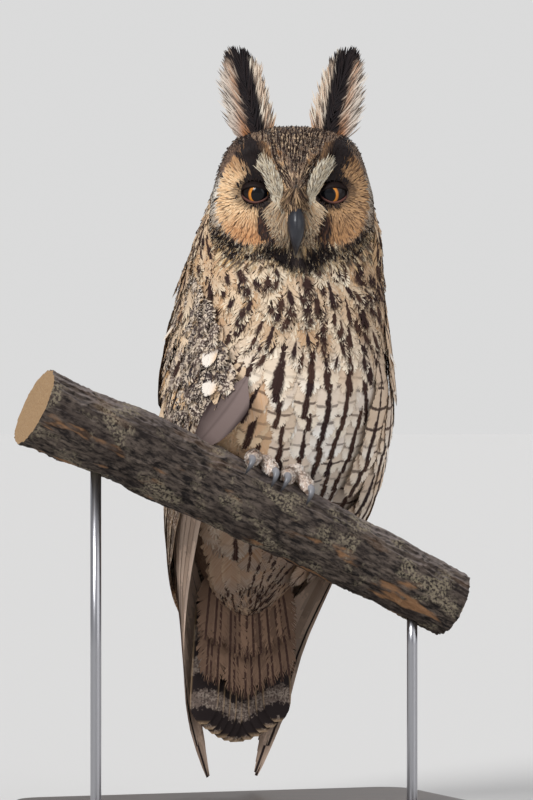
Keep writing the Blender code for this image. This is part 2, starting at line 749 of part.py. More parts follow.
def build_tail(body_cutter):
    """Twelve tail feathers that overlap from the middle outwards, in a root with the tail coverts."""
    core = ball("core", tail_place(0.0, -0.0035, 0.124), 0.036, (0.0, 0.0, 1.0), 16, 8, (0.22, 0.56, 1.0))
    made = [core]
    turned = math.radians(BODY_TURN)
    across_way = np.array([math.cos(turned), math.sin(turned), 0.0])
    back_way = np.array([-math.sin(turned), math.cos(turned), 0.0])
    for sign in (-1, 1):
        for i in range(TAIL_FEATHERS):
            out = (i + 0.5) / TAIL_FEATHERS
            parts = np.linspace(0, 1, 5)
            sides = sign * (0.011 * out + (TAIL_HALF_SPREAD - 0.011) * out * parts)
            layer = 0.0046 - 0.0010 * i + (0.0005 if sign > 0 else -0.0005)
            tip_height = TAIL_TIP + 0.0010 * i**1.5
            heights = 0.140 + (tip_height - 0.140) * parts
            path = np.array([tail_place(x, layer * (0.35 + 0.65 * p), z) for x, p, z in zip(sides, parts, heights)])
            widths = vane_widths(parts, 0.0088, 0.80)
            thick = VANE_THICK * (1 - 0.4 * fade(parts, 0.6, 1.0))
            over = np.tile(back_way, (5, 1))
            across = np.tile(across_way * sign, (5, 1))
            made.append(vane(path, across, over, widths, thick, -0.0010 * widths / 0.0041 / 2))
    for i in range(5):
        parts = np.linspace(0, 1, 4)
        sides = 0.0075 * (i - 2) * (0.7 + 0.4 * parts)
        heights = 0.122 - 0.048 * parts + 0.003 * abs(i - 2)
        path = np.array(
            [tail_place(x, -0.0055 - 0.0012 * (i % 2) - 0.001 * p, z) for x, p, z in zip(sides, parts, heights)]
        )
        widths = vane_widths(parts, 0.0066, 0.6)
        over = np.tile(back_way, (4, 1))
        across = np.tile(across_way, (4, 1))
        made.append(vane(path, across, over, widths, np.full(4, VANE_THICK), 0.0))
    tail = thin_out(fuse("tail", made), TAIL_SHARE)
    return cut(tail, body_cutter())


def build_tuft(name, sign, head_cutter):
    """An ear tuft: a fan of narrow feathers that leans outwards from the brow's upper end."""
    root = head_place(sign * 0.0165, 0.009, 0.3800)
    made = [ball("tuft_core", root, 0.0105, (0.0, 0.0, 1.0), 12, 8, (0.85, 0.62, 1.35))]
    turned = math.radians(HEAD_ROW[2])
    side_way = np.array([math.cos(turned), math.sin(turned), 0.0]) * sign
    back_way = np.array([-math.sin(turned), math.cos(turned), 0.0])
    fan = (
        (30.0, 0.034, 2), (23.0, 0.042, 0), (18.0, 0.0500, 2), (14.0, 0.0545, 0), (9.5, 0.0520, 2),
        (4.5, 0.046, 0), (-0.5, 0.038, 2), (-6.0, 0.029, 0), (39.0, 0.026, 0),
    )
    for lean, length, layer in fan:
        leaned = math.radians(lean)
        way = side_way * math.sin(leaned) + np.array([0.0, 0.0, 1.0]) * math.cos(leaned)
        way = unit(way + back_way * (0.02 + 0.07 * layer))
        start = root + side_way * 0.00020 * (lean - 15) + back_way * (0.0016 * (layer - 1))
        parts = np.linspace(0, 1, 5)
        curl = np.sin(parts * math.pi) * 0.0016
        path = np.array([start + way * length * p - back_way * c for p, c in zip(parts, curl)])
        across = unit(np.cross(way, back_way))
        across = np.tile(across * np.sign(across @ side_way), (5, 1))
        over = np.tile(-np.cross(across[0], way) * sign, (5, 1))
        widths = vane_widths(parts, 0.0042, 0.45)
        thick = VANE_THICK * (1 - 0.3 * parts)
        made.append(vane(path, across, over, widths, thick, 0.0))
    tuft = thin_out(fuse(name, made), TUFT_SHARE)
    return cut(tuft, head_cutter())


# Perch, legs and claws


def perch_frame():
    turn, slope = math.radians(PERCH_TURN), math.radians(PERCH_SLOPE)
    along = np.array(
        [math.cos(slope) * math.cos(turn), math.cos(slope) * math.sin(turn), -math.sin(slope)]
    )
    top = unit(np.array([0.0, 0.0, 1.0]) - along[2] * along)
    front = np.cross(along, top)
    return along, top, front


PERCH_ALONG, PERCH_TOP, PERCH_FRONT = perch_frame()


def perch_radius(along, angle):
    """Bark-rough radius at a place along the perch and round it."""
    taper = PERCH_RADIUS - PERCH_TAPER * (along - PERCH_LEFT) / (PERCH_RIGHT - PERCH_LEFT)
    waves = 0.020 * np.sin(along * 62 + 2 * angle) + 0.018 * np.sin(along * 118 - angle + 1.2)
    flat_at_feet = 1 - np.exp(-((along / 0.035) ** 2))
    return (taper + 0.0010) * (1 + waves * flat_at_feet)


def perch_middle(along):
    """A point on the perch's middle line, which bows upwards a little."""
    half = (PERCH_RIGHT - PERCH_LEFT) / 2
    bow = -PERCH_BOW * (along / half) ** 2 * 0.6
    start = np.array([PERCH_X, PERCH_Y, PERCH_Z])
    return start + along * PERCH_ALONG + bow * PERCH_TOP


def perch_place(along, angle, lift):
    """A point round the perch. Angle 0 is its top, and it grows towards the front, in degrees."""
    turned = math.radians(angle)
    way = PERCH_TOP * math.cos(turned) + PERCH_FRONT * math.sin(turned)
    return perch_middle(along) + way * (perch_radius(along, turned) + lift)


def build_perch():
    angles = np.linspace(0, 360, PERCH_SIDES, endpoint=False)
    rings = [
        np.array([perch_place(along, angle, 0.0) for angle in angles])
        for along in np.linspace(PERCH_LEFT, PERCH_RIGHT, PERCH_RINGS)
    ]
    return loft("perch", rings)


def toe_room(lift):
    """The space round the perch that the belly leaves to the toes."""
    angles = np.linspace(0, 360, 16, endpoint=False)
    places = np.linspace(FOOT_MIDDLE - TOE_ROOM_LONG, FOOT_MIDDLE + TOE_ROOM_LONG, 5)
    return loft("toe_room", [np.array([perch_place(x, a, lift) for a in angles]) for x in places])


TOES = (
    # angle where it ends, splay along the perch, how far out along the perch it starts
    (38.0, -0.0055, -0.0020),
    (40.0, 0.0050, 0.0020),
    (-36.0, -0.0060, -0.0020),
    (-38.0, 0.0060, 0.0020),
)


def build_leg(name, middle, perch_cutter, body_cutter):
    """A feathered shank that comes out of the belly, with two toes in front and two behind."""
    made = []
    base = perch_place(middle, 0.0, 0.0045)
    up = unit(np.array([0.0, 0.0, 1.0]) * 0.9 - PERCH_FRONT * 0.35)
    shank = [base - up * 0.003, base + up * 0.006, base + up * 0.014, base + up * 0.022]
    made.append(
        tube(name + "_shank", shank, [TARSUS_RADIUS * k for k in (0.9, 1.0, 1.08, 1.2)], 12, 1.0, PERCH_ALONG)
    )
    for end, splay, start in TOES:
        parts = np.linspace(0, 1, 6)
        path = [
            perch_place(middle + start + splay * p, end * p, TOE_RADIUS * (1.0 - 0.12 * p)) for p in parts
        ]
        radii = TOE_RADIUS * np.array([1.15, 1.10, 1.02, 1.0, 0.92, 0.62])
        made.append(tube(name + "_toe", path, radii, 10, 1.0, PERCH_ALONG))
    leg = fuse(name, made)
    return cut(leg, perch_cutter(), body_cutter())


def build_claw(name, middle, toe, leg_cutter, perch_cutter, body_cutter):
    """A curved claw that leaves the toe's end and comes down on the bark."""
    end, splay, start = toe
    sign = math.copysign(1.0, end)
    parts = np.linspace(0, 1, 7)
    path = []
    for p in parts:
        angle = end - sign * 3.0 + sign * 25.0 * p
        lift = 0.0046 + 0.0022 * math.sin(math.pi * min(1.0, p * 1.1)) - 0.0044 * p**1.6
        path.append(perch_place(middle + start + splay * (1.02 + 0.20 * p), angle, lift))
    radii = CLAW_RADIUS * np.array([1.25, 1.2, 1.08, 0.9, 0.68, 0.42, 0.0])
    claw = tube(name, path, radii, 8, 1.0, PERCH_ALONG)
    return cut(claw, leg_cutter, perch_cutter(), body_cutter())


# Stand


def rounded_slab(name, long, wide, thick, corner, turn):
    """A flat plate with rounded corners and a small chamfer on its top edge."""
    outline = []
    for quarter in range(4):
        middle_x = (long / 2 - corner) * (1 if quarter in (0, 3) else -1)
        middle_y = (wide / 2 - corner) * (1 if quarter in (0, 1) else -1)
        for angle in np.radians(np.linspace(quarter * 90, quarter * 90 + 90, 6)):
            outline.append((middle_x + corner * math.cos(angle), middle_y + corner * math.sin(angle)))
    outline = np.array(outline)
    turned = math.radians(turn)
    rings = []
    for inset, height in ((0.0, 0.0), (0.0, thick - 0.0015), (0.0015, thick)):
        factor = np.array([1 - 2 * inset / long, 1 - 2 * inset / wide])
        flat = outline * factor
        x = flat[:, 0] * math.cos(turned) - flat[:, 1] * math.sin(turned)
        y = flat[:, 0] * math.sin(turned) + flat[:, 1] * math.cos(turned)
        rings.append(np.column_stack([x, y, np.full(len(x), height)]))
    return loft(name, rings)


def build_rod(name, along, perch_cutter):
    """An upright rod from the base's top into the underside of the perch."""
    middle = perch_middle(along)
    turn = np.linspace(0, 2 * math.pi, 16, endpoint=False)
    circle = ROD_RADIUS * np.column_stack([np.cos(turn), np.sin(turn)])
    rings = [
        np.column_stack([circle + middle[:2], np.full(len(turn), height)])
        for height in (BASE_THICK + GAP, middle[2])
    ]
    return cut(loft(name, rings), perch_cutter())


def main():
    clear_scene()
    plumage = material("plumage", (0.42, 0.30, 0.18), 0.85)
    pale = material("pale_feather", (0.72, 0.60, 0.45), 0.85)
    horn = material("bill_horn", (0.06, 0.065, 0.075), 0.35)
    amber = material("amber_eye", (0.85, 0.35, 0.03), 0.08)
    bark = material("bark", (0.09, 0.08, 0.07), 0.9)
    paint = material("stand_paint", (0.10, 0.10, 0.11), 0.5)
    steel = material("rod_steel", (0.55, 0.55, 0.56), 0.3, 1.0)

    torso, neck, head, low_cutter, high_cutter = build_body()

    def copy_of(cutter):
        return new_object(cutter.name + "_copy", cutter.data.copy())

    def low():
        return copy_of(low_cutter)

    def high():
        return copy_of(high_cutter)

    eyes = build_eyes(head)
    upper, lower = build_bill(high)
    cut(upper, low())
    cut(lower, low())
    perch = build_perch()

    def round_perch():
        return pushed(perch, SWELL)

    cut(torso, round_perch(), toe_room(TOE_ROOM_HIGH))
    belly_cutter = low()
    cut(belly_cutter, toe_room(TOE_ROOM_HIGH - SWELL))

    def belly():
        return copy_of(belly_cutter)

    for side, sign in (("right", -1), ("left", 1)):
        middle = FOOT_MIDDLE + sign * FOOT_SPREAD
        leg = build_leg("leg_" + side, middle, round_perch, belly)
        for i, toe in enumerate(TOES):
            name = f"claw_{side}_{i + 1}"
            claw = build_claw(name, middle, toe, pushed(leg, SWELL), round_perch, belly)
            finish(claw, name, horn)
        finish(leg, "leg_" + side, pale)
        wing = build_wing("wing_" + side, sign, [low, high, round_perch])
        finish(wing, "wing_" + side, plumage, 25)
        tuft = build_tuft("ear_tuft_" + side, sign, high)
        finish(tuft, "ear_tuft_" + side, plumage, 25)
    tail = build_tail(low)
    for obj, name, look in (
        (torso, "torso", plumage),
        (neck, "neck", plumage),
        (head, "head", plumage),
        (eyes[0], "eye_right", amber),
        (eyes[1], "eye_left", amber),
        (upper, "bill_upper", horn),
        (lower, "bill_lower", horn),
        (tail, "tail", plumage),
        (perch, "perch", bark),
    ):
        finish(obj, name, look)
    base = rounded_slab("stand_base", BASE_LONG, BASE_WIDE, BASE_THICK, BASE_CORNER, PERCH_TURN)
    finish(base, "stand_base", paint)
    for i, place in enumerate(ROD_PLACES):
        name = f"stand_rod_{i + 1}"
        finish(build_rod(name, place, round_perch), name, steel)
    remove(low_cutter, high_cutter, belly_cutter)


main()
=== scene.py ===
"""Looks of a long-eared owl at rest on a cut length of branch, on a display stand.

Every surface is a function of two parameters worked out with numpy as whole arrays.
The body is one skin under a coat of feathers: each feather is a flat pattern of barbs
laid along a line that follows the body's surface.
"""

import math

import bpy
import numpy as np
from bpy.props import FloatProperty, FloatVectorProperty, IntProperty, PointerProperty
from bpy.types import Operator, Panel, PropertyGroup
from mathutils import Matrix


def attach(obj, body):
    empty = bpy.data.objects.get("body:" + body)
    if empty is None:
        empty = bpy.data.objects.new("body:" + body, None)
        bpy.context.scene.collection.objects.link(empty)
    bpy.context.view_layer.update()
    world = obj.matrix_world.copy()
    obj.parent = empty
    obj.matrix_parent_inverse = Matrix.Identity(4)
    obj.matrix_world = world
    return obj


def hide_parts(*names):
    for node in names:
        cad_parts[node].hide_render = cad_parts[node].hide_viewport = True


bl_info = {
    "name": "Long-eared owl on a perch",
    "version": (1, 0, 0),
    "blender": (4, 5, 0),
    "location": "View3D > Sidebar > Owl",
    "description": "Skin, feathers, eyes, bill, feet, perch and stand of a life-size owl",
    "category": "Add Mesh",
}

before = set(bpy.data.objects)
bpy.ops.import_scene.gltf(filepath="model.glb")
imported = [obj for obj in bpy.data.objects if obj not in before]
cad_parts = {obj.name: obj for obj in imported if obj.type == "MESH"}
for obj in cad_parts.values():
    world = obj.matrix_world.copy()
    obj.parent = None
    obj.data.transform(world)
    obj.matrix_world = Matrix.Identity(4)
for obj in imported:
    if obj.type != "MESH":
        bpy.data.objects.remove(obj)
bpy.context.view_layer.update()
MM = 0.001
SEED = 11

# The owl's axis over the base, and the turn of its body and head to its own left
BODY_X = 0.0160
BODY_Y = 0.0086
BODY_TURN = 25.0
HEAD_ROW = (6.4, -12.0, 3.0)

# Height, axis offset in X and Y, turn in degrees, half width, depth in front, depth behind
BODY_SECTIONS = (
    (112.0, -21.1, 45.3, 25.0, 0.0, 0.0, 0.0),
    (115.5, -21.1, 45.3, 25.0, 11.0, 7.0, 8.0),
    (130.0, -18.3, 44.4, 25.0, 26.0, 14.0, 13.0),
    (150.0, -13.2, 42.4, 25.0, 41.5, 23.0, 18.0),
    (170.0, -8.4, 35.8, 25.0, 53.5, 34.0, 25.0),
    (185.0, -6.0, 26.0, 25.0, 57.0, 40.0, 33.0),
    (200.0, -3.6, 13.8, 25.0, 58.5, 43.0, 43.0),
    (220.0, -1.2, 4.9, 25.0, 59.0, 47.0, 49.0),
    (240.0, 0.0, 0.0, 25.0, 59.5, 50.5, 50.0),
    (265.0, 0.8, -1.8, 25.0, 58.5, 48.5, 48.0),
    (290.0, 2.0, -3.6, 22.0, 56.5, 44.5, 45.5),
    (305.0, 2.6, -5.0, 17.0, 55.0, 41.0, 43.0),
    (318.0, 3.5, -7.0, 10.0, 53.5, 39.0, 41.5),
    (330.0, 4.6, -9.5, 5.0, 51.2, 38.5, 40.5),
    (340.0, 5.2, -11.0, 3.0, 47.8, 38.0, 40.0),
    (353.5, 6.2, -12.0, 3.0, 43.8, 36.0, 38.5),
    (369.0, 6.6, -12.0, 3.0, 39.0, 33.0, 35.5),
    (378.0, 6.8, -11.0, 3.0, 35.0, 29.5, 31.5),
    (384.6, 6.8, -10.0, 3.0, 28.0, 23.5, 25.5),
    (388.4, 6.6, -9.0, 3.0, 16.0, 13.5, 14.5),
    (389.6, 6.6, -8.5, 3.0, 0.0, 0.0, 0.0),
)
HEAD_BASE = 0.3165

EYE_HEIGHT = 0.3520
EYE_SPREAD = 0.0206
EYE_RADIUS = 0.0095
EYE_DEPTH = 0.0218
EYE_OUTWARD = 12.0

# The surface that the folded wings lie on:
# height, middle beside and behind the body axis, half width, depth in front, depth behind
WRAP_SECTIONS = (
    (0.0, 0.0, -61.0, 12.0, 7.0, 4.0),
    (20.0, 0.0, -60.0, 17.0, 9.0, 5.0),
    (40.0, 0.0, -58.0, 24.0, 12.0, 6.5),
    (60.0, 0.0, -55.0, 29.5, 15.0, 8.5),
    (90.0, 0.5, -50.0, 34.5, 18.0, 13.0),
    (120.0, 3.0, -45.0, 41.5, 22.0, 18.5),
    (150.0, 5.6, -38.0, 50.0, 29.0, 25.0),
    (170.0, 6.6, -30.0, 56.0, 35.0, 31.0),
    (185.0, 5.0, -21.0, 58.0, 40.0, 36.5),
    (200.0, 2.4, -12.5, 58.8, 43.0, 43.5),
    (215.0, 1.2, -7.0, 59.0, 46.0, 47.5),
    (230.0, 0.3, -2.0, 59.2, 49.0, 49.8),
)
LEADING_EDGE = (
    (0.0, 124.0),
    (20.0, 118.0),
    (40.0, 110.0),
    (60.0, 101.0),
    (90.0, 90.0),
    (120.0, 77.0),
    (150.0, 65.0),
    (170.0, 60.0),
    (200.0, 55.0),
    (225.0, 48.0),
    (250.0, 50.0),
    (280.0, 63.0),
    (300.0, 78.0),
    (318.0, 94.0),
)
WING_END_ANGLE = 178.0

PERCH_START = (0.0224, -0.0174, 0.1688)
PERCH_TURN = 20.0
PERCH_SLOPE = 25.0
PERCH_LEFT = -0.163
PERCH_RIGHT = 0.107
PERCH_RADIUS = 0.0215
PERCH_TAPER = 0.0030
PERCH_BOW = 0.0056
FOOT_MIDDLE = -0.0225
FOOT_SPREAD = 0.0115
TOE_RADIUS = 0.0040

TAIL_TIP = 0.0413
TAIL_BACK = -0.0500
TAIL_LEAN = 0.0040


def linear(*colour):
    """A colour given as sRGB from 0 to 255, as linear values."""
    part = np.array(colour, float) / 255
    return np.where(part <= 0.04045, part / 12.92, ((part + 0.055) / 1.055) ** 2.4)


# Colours of the bird
BUFF = linear(214, 176, 124)
RUFOUS = linear(196, 132, 80)
CREAM = linear(228, 212, 184)
WHITE = linear(232, 226, 216)
UMBER = linear(62, 42, 36)
SLATE = linear(74, 64, 68)
BLACK = linear(26, 21, 24)
GREY = linear(142, 134, 132)


# Small helpers


def fade(value, low, high):
    """0 below low and 1 above high, with a smooth S between."""
    part = np.clip((value - low) / (high - low), 0.0, 1.0)
    return part * part * (3 - 2 * part)


def blend(first, second, share):
    """Mixes two colours or arrays of colours by a share for each point."""
    share = np.asarray(share)[..., None]
    return first * (1 - share) + second * share


def smooth_rows(sections, count=700):
    """Rows on a Catmull-Rom curve through the sections."""
    rows = np.array(sections, float)
    place = np.linspace(0, len(rows) - 1, count)
    low = np.clip(place.astype(int), 0, len(rows) - 2)
    part = (place - low)[:, None]
    before, start = rows[np.maximum(low - 1, 0)], rows[low]
    end, after = rows[low + 1], rows[np.minimum(low + 2, len(rows) - 1)]
    curve = 0.5 * (
        2 * start
        + (end - before) * part
        + (2 * before - 5 * start + 4 * end - after) * part**2
        + (3 * start - before - 3 * end + after) * part**3
    )
    curve[:, 0] = np.maximum.accumulate(curve[:, 0])
    return curve


BODY_ROWS = smooth_rows(BODY_SECTIONS)
WRAP_ROWS = smooth_rows(WRAP_SECTIONS)
EDGE_ROWS = smooth_rows(LEADING_EDGE)
MEAN_RADIUS = (BODY_ROWS[:, 4] + (BODY_ROWS[:, 5] + BODY_ROWS[:, 6]) / 2) / 2 * MM
# Way along the body's side from its lowest point, at each row
BODY_WAY = np.concatenate(
    [[0.0], np.cumsum(np.hypot(np.diff(BODY_ROWS[:, 0]) * MM, np.diff(MEAN_RADIUS)) + 1e-7)]
)
BODY_LENGTH = BODY_WAY[-1]


def way_at(height):
    """The way along the body's side at a height."""
    return np.interp(np.asarray(height) / MM, BODY_ROWS[:, 0], BODY_WAY)


def columns_at(rows, height):
    """The columns of the rows at heights in metres."""
    return [np.interp(height / MM, rows[:, 0], column) for column in rows[:, 1:].T]


def turned(side, ahead, turn, x, y):
    """World X and Y of a place beside and ahead of an axis that is turned by some degrees."""
    angle = np.radians(turn)
    return (
        x + side * np.cos(angle) + ahead * np.sin(angle),
        y + side * np.sin(angle) - ahead * np.cos(angle),
    )


def head_place(side, ahead, height):
    x, y = turned(side, ahead, HEAD_ROW[2], BODY_X + HEAD_ROW[0] * MM, BODY_Y + HEAD_ROW[1] * MM)
    return np.stack(np.broadcast_arrays(x, y, height), axis=-1)


def body_place(side, ahead, height):
    x, y = turned(side, ahead, BODY_TURN, BODY_X, BODY_Y)
    return np.stack(np.broadcast_arrays(x, y, height), axis=-1)


def face_relief(side, up):
    """How far the face stands out: two hollow discs with raised rims, a ridge down to the bill
    and two brows that rise outwards from it."""
    away = np.abs(side)
    ring = np.hypot((away - 0.0215) / 0.0205, (up + 0.0025) / 0.0270)
    hollow = -0.0040 * np.clip(1 - ring**2, 0, 1)
    rim = 0.0016 * np.exp(-(((ring - 1) / 0.13) ** 2))
    along = fade(up, -0.030, -0.016) * (1 - fade(up, 0.010, 0.026))
    ridge = 0.0052 * np.exp(-((side / 0.0058) ** 2)) * along
    brow_line = 0.0062 + np.clip(up + 0.004, 0, 0.03) * 0.48
    on_brow = fade(up, -0.006, 0.004) * (1 - fade(up, 0.022, 0.030))
    brow = 0.0026 * np.exp(-(((away - brow_line) / 0.0036) ** 2)) * on_brow
    return hollow + rim + np.maximum(ridge, brow)


def body_point(way, angle, lift=0.0):
    """The body's surface at a way up its side and an angle round it, 0 straight ahead and growing to
    the owl's left: a superellipse at each height, with the face's relief, lifted sideways."""
    way, angle, lift = np.broadcast_arrays(way, angle, lift)
    height = np.interp(way, BODY_WAY, BODY_ROWS[:, 0]) * MM
    shift_x, shift_y, turn, wide, front, back = [
        np.interp(way, BODY_WAY, column) for column in BODY_ROWS[:, 1:].T
    ]
    on_head = fade(height, HEAD_BASE - 0.004, EYE_HEIGHT - 0.012)
    power = 2.25 + 0.75 * on_head
    sine, cosine = np.sin(angle), np.cos(angle)
    wide = wide * MM + lift
    depth = np.where(cosine > 0, front, back) * MM + lift
    wide, depth = np.maximum(wide, 1e-6), np.maximum(depth, 1e-6)
    reach = ((np.abs(sine) / wide) ** power + (np.abs(cosine) / depth) ** power) ** (-1 / power)
    side, ahead = reach * sine, reach * cosine
    shown = fade(cosine, 0.05, 0.45) * fade(height, HEAD_BASE - 0.001, HEAD_BASE + 0.006)
    ahead = ahead + face_relief(side, height - EYE_HEIGHT) * shown
    x, y = turned(side, ahead, turn, BODY_X + shift_x * MM, BODY_Y + shift_y * MM)
    return np.stack([x, y, height], axis=-1)


def surface_frame(surface, first, second):
    """A surface's points, its outward normals and the two ways of its parameters."""
    small, round_by = 0.0003, 0.004
    point = surface(first, second)
    up = (surface(first + small, second) - surface(first - small, second)) / (2 * small)
    aside = (surface(first, second + round_by) - surface(first, second - round_by)) / (2 * round_by)
    normal = np.cross(aside, up)
    return point, unit(normal), up, aside


def unit(vectors):
    return vectors / np.maximum(np.linalg.norm(vectors, axis=-1), 1e-12)[..., None]


def dot(first, second):
    return np.sum(first * second, axis=-1)


def grow(surface, first, second, direction, length, steps=6):
    """Lines over a surface from their roots. Direction gives the way to go at each point, which is laid
    flat on the surface. Each step is turned into parameters by least squares on the surface's two
    ways. Returns points, side directions and normals."""
    points, sides, normals = [], [], []
    first, second = np.array(first, float), np.array(second, float)
    for step in range(steps + 1):
        point, normal, up, aside = surface_frame(surface, first, second)
        wanted = direction(point, unit(up), unit(aside))
        along = unit(wanted - normal * dot(wanted, normal)[..., None])
        points.append(point)
        normals.append(normal)
        sides.append(np.cross(normal, along))
        a, b, c = dot(up, up) + 1e-12, dot(up, aside), dot(aside, aside) + 1e-12
        d, e = dot(along, up), dot(along, aside)
        share = length / steps / np.maximum(a * c - b * b, 1e-14)
        first = first + (d * c - e * b) * share
        second = second + (e * a - d * b) * share
    return np.stack(points, 1), np.stack(sides, 1), np.stack(normals, 1)


def heading(degrees):
    """A direction down the surface, turned by some degrees for each line towards growing angle."""
    turn = np.radians(degrees)
    return lambda point, up, aside: -up * np.cos(turn)[:, None] + aside * np.sin(turn)[:, None]


# Feather patterns: places along and across one feather, and the faces between them


def barb_pattern(pairs, sweep=0.30, pointed=3.0, thick=1.2, cuts=2):
    """A feather as barbs that leave the shaft on both sides and sweep towards the tip. Each barb is a
    strip of some cuts. Returns along, across, how far out on its barb each point is, and quads."""
    along, across, out, quads = [], [], [], []
    for side in (-1, 1):
        for j in range(pairs):
            start = 0.02 + 0.93 * j / (pairs - 1)
            end = min(0.995, start + sweep * (1 - 0.45 * start))
            wide = max(0.05, float(fade(end, -0.25, 0.50)) * (1 - end**pointed) ** 0.6)
            half = 0.5 * thick * 0.93 / (pairs - 1)
            base = len(along)
            for k in range(cuts + 1):
                part = k / cuts
                for edge in (-1, 1):
                    along.append(start + (end - start) * part**1.15 + edge * half * (1 - 0.62 * part**2))
                    across.append(side * (wide * part**0.9 + 0.004))
                    out.append(part)
            for k in range(cuts):
                a = base + 2 * k
                quads.append((a, a + 1, a + 3, a + 2) if side > 0 else (a, a + 2, a + 3, a + 1))
    return np.array(along), np.array(across), np.array(out), np.array(quads)


def vane_pattern(rows, columns, root=0.30, full=0.30, round_from=0.80):
    """A whole feather as a grid that widens from its root and rounds off to its tip."""
    u = np.concatenate([np.linspace(0, round_from, rows - 4), 1 - (1 - round_from) * np.array([0.72, 0.42, 0.16, 0.0])])
    v = np.linspace(-1, 1, columns)
    wide = (root + (1 - root) * fade(u, 0, full)) * np.sqrt(
        np.clip(1 - (np.clip((u - round_from) / (1 - round_from), 0, 0.97)) ** 2, 0, 1)
    )
    along = np.repeat(u, columns)
    across = (wide[:, None] * v[None, :]).ravel()
    out = np.tile(np.abs(v), rows)
    i, j = np.meshgrid(np.arange(rows - 1), np.arange(columns - 1), indexing="ij")
    a = (i * columns + j).ravel()
    quads = np.stack([a, a + columns, a + columns + 1, a + 1], axis=1)
    return along, across, out, quads


def hair_pattern(cuts=3):
    """One tapered strip."""
    u = np.repeat(np.linspace(0, 1, cuts + 1), 2)
    slim = np.repeat(np.array([0.8] + [1.0] * (cuts - 1) + [0.12]), 2)
    across = np.tile([-1.0, 1.0], cuts + 1) * slim
    quads = np.array([(2 * k, 2 * k + 2, 2 * k + 3, 2 * k + 1) for k in range(cuts)])
    return u, across, np.zeros(len(u)), quads


def lay(pattern, lines, half_width, lift, random=None, jitter=0.0, swirl=0.0, camber=0.0, tilt=0.0, front=1.0):
    """Places one pattern on each line. A point goes along the line by its place along the feather,
    sideways by half width times its place across, and off the surface by a lift that goes from the
    root's to the tip's, plus tilt times its place across, less camber times that place squared.
    Front is 1 or -1 for each line and mirrors the pattern."""
    points, sides, normals = lines
    along, across, out, quads = pattern
    count, steps = points.shape[0], points.shape[1] - 1
    low_lift = np.broadcast_to(lift[0], (count,))[:, None]
    high_lift = np.broadcast_to(lift[1], (count,))[:, None]
    u = np.broadcast_to(along, (count, len(along)))
    v = np.broadcast_to(across, (count, len(across)))
    if random is not None and jitter:
        u = u + random.normal(0, 0.06 * jitter, u.shape) * out**1.5
        v = v * (1 + random.normal(0, 0.30 * jitter, v.shape) * out**1.5)
    place = np.clip(u, -0.02, 1.06) * steps
    low = np.clip(place.astype(int), 0, steps - 1)
    part = place - low
    rows = np.arange(count)[:, None]

    def between(values):
        share = part[..., None] if values.ndim == 3 else part
        return values[rows, low] * (1 - share) + values[rows, low + 1] * share

    half_width = np.asarray(half_width, float)
    wide = between(half_width) if half_width.ndim == 2 else np.broadcast_to(half_width, (count,))[:, None]
    mirrored = v * np.broadcast_to(front, (count,))[:, None]
    rise = low_lift + (high_lift - low_lift) * u - camber * v**2 + tilt * mirrored
    if random is not None and swirl:
        rise = rise + random.normal(0, swirl, rise.shape) * out
    placed = between(points) + between(sides) * (v * wide)[..., None] + between(normals) * rise[..., None]
    faces = (quads[None] + (np.arange(count) * len(along))[:, None, None]).reshape(-1, 4)
    flat = {"points": placed.reshape(-1, 3), "faces": faces, "u": u.ravel(), "v": mirrored.ravel()}
    flat["size"] = len(along)
    return flat


def join(parts):
    """One set of arrays from several, with the faces renumbered."""
    shift, faces = 0, []
    for part in parts:
        faces.append(part["faces"] + shift)
        shift += len(part["points"])
    joined = {"faces": np.concatenate(faces)}
    for key in parts[0]:
        if key not in ("faces", "size"):
            joined[key] = np.concatenate([part[key] for part in parts])
    return joined


def paint(laid, tone, mark, form, root, seed):
    """Gives every point its feather's ground colour, mark colour, pattern numbers, chance number and
    place on the baked map. Colours may be given for each feather or for each point."""
    size = laid.pop("size")
    count = len(laid["points"]) // size

    def spread(values, width):
        values = np.asarray(values, float)
        if values.ndim == 1:
            values = np.broadcast_to(values, (count, width))
        return np.repeat(values, size, axis=0) if len(values) == count else values

    laid["tone"], laid["mark"], laid["form"] = spread(tone, 3), spread(mark, 3), spread(form, 3)
    laid["chance"] = np.repeat(seed.random(count), size)
    base = np.repeat(np.asarray(root, float), size, axis=0)
    laid["bake"] = base + 0.003 * np.column_stack([laid["v"] * 0.5 + 0.5, laid["u"]])
    return laid


def bake_root(way, angle, offset=(0.0, 0.0)):
    """A root's place on the unwrapped body: round it by angle and up it by way."""
    around = (np.asarray(angle) / (2 * math.pi)) % 1.0
    return np.column_stack([offset[0] + 0.02 + 0.94 * around, offset[1] + 0.02 + 0.94 * np.asarray(way) / BODY_LENGTH])


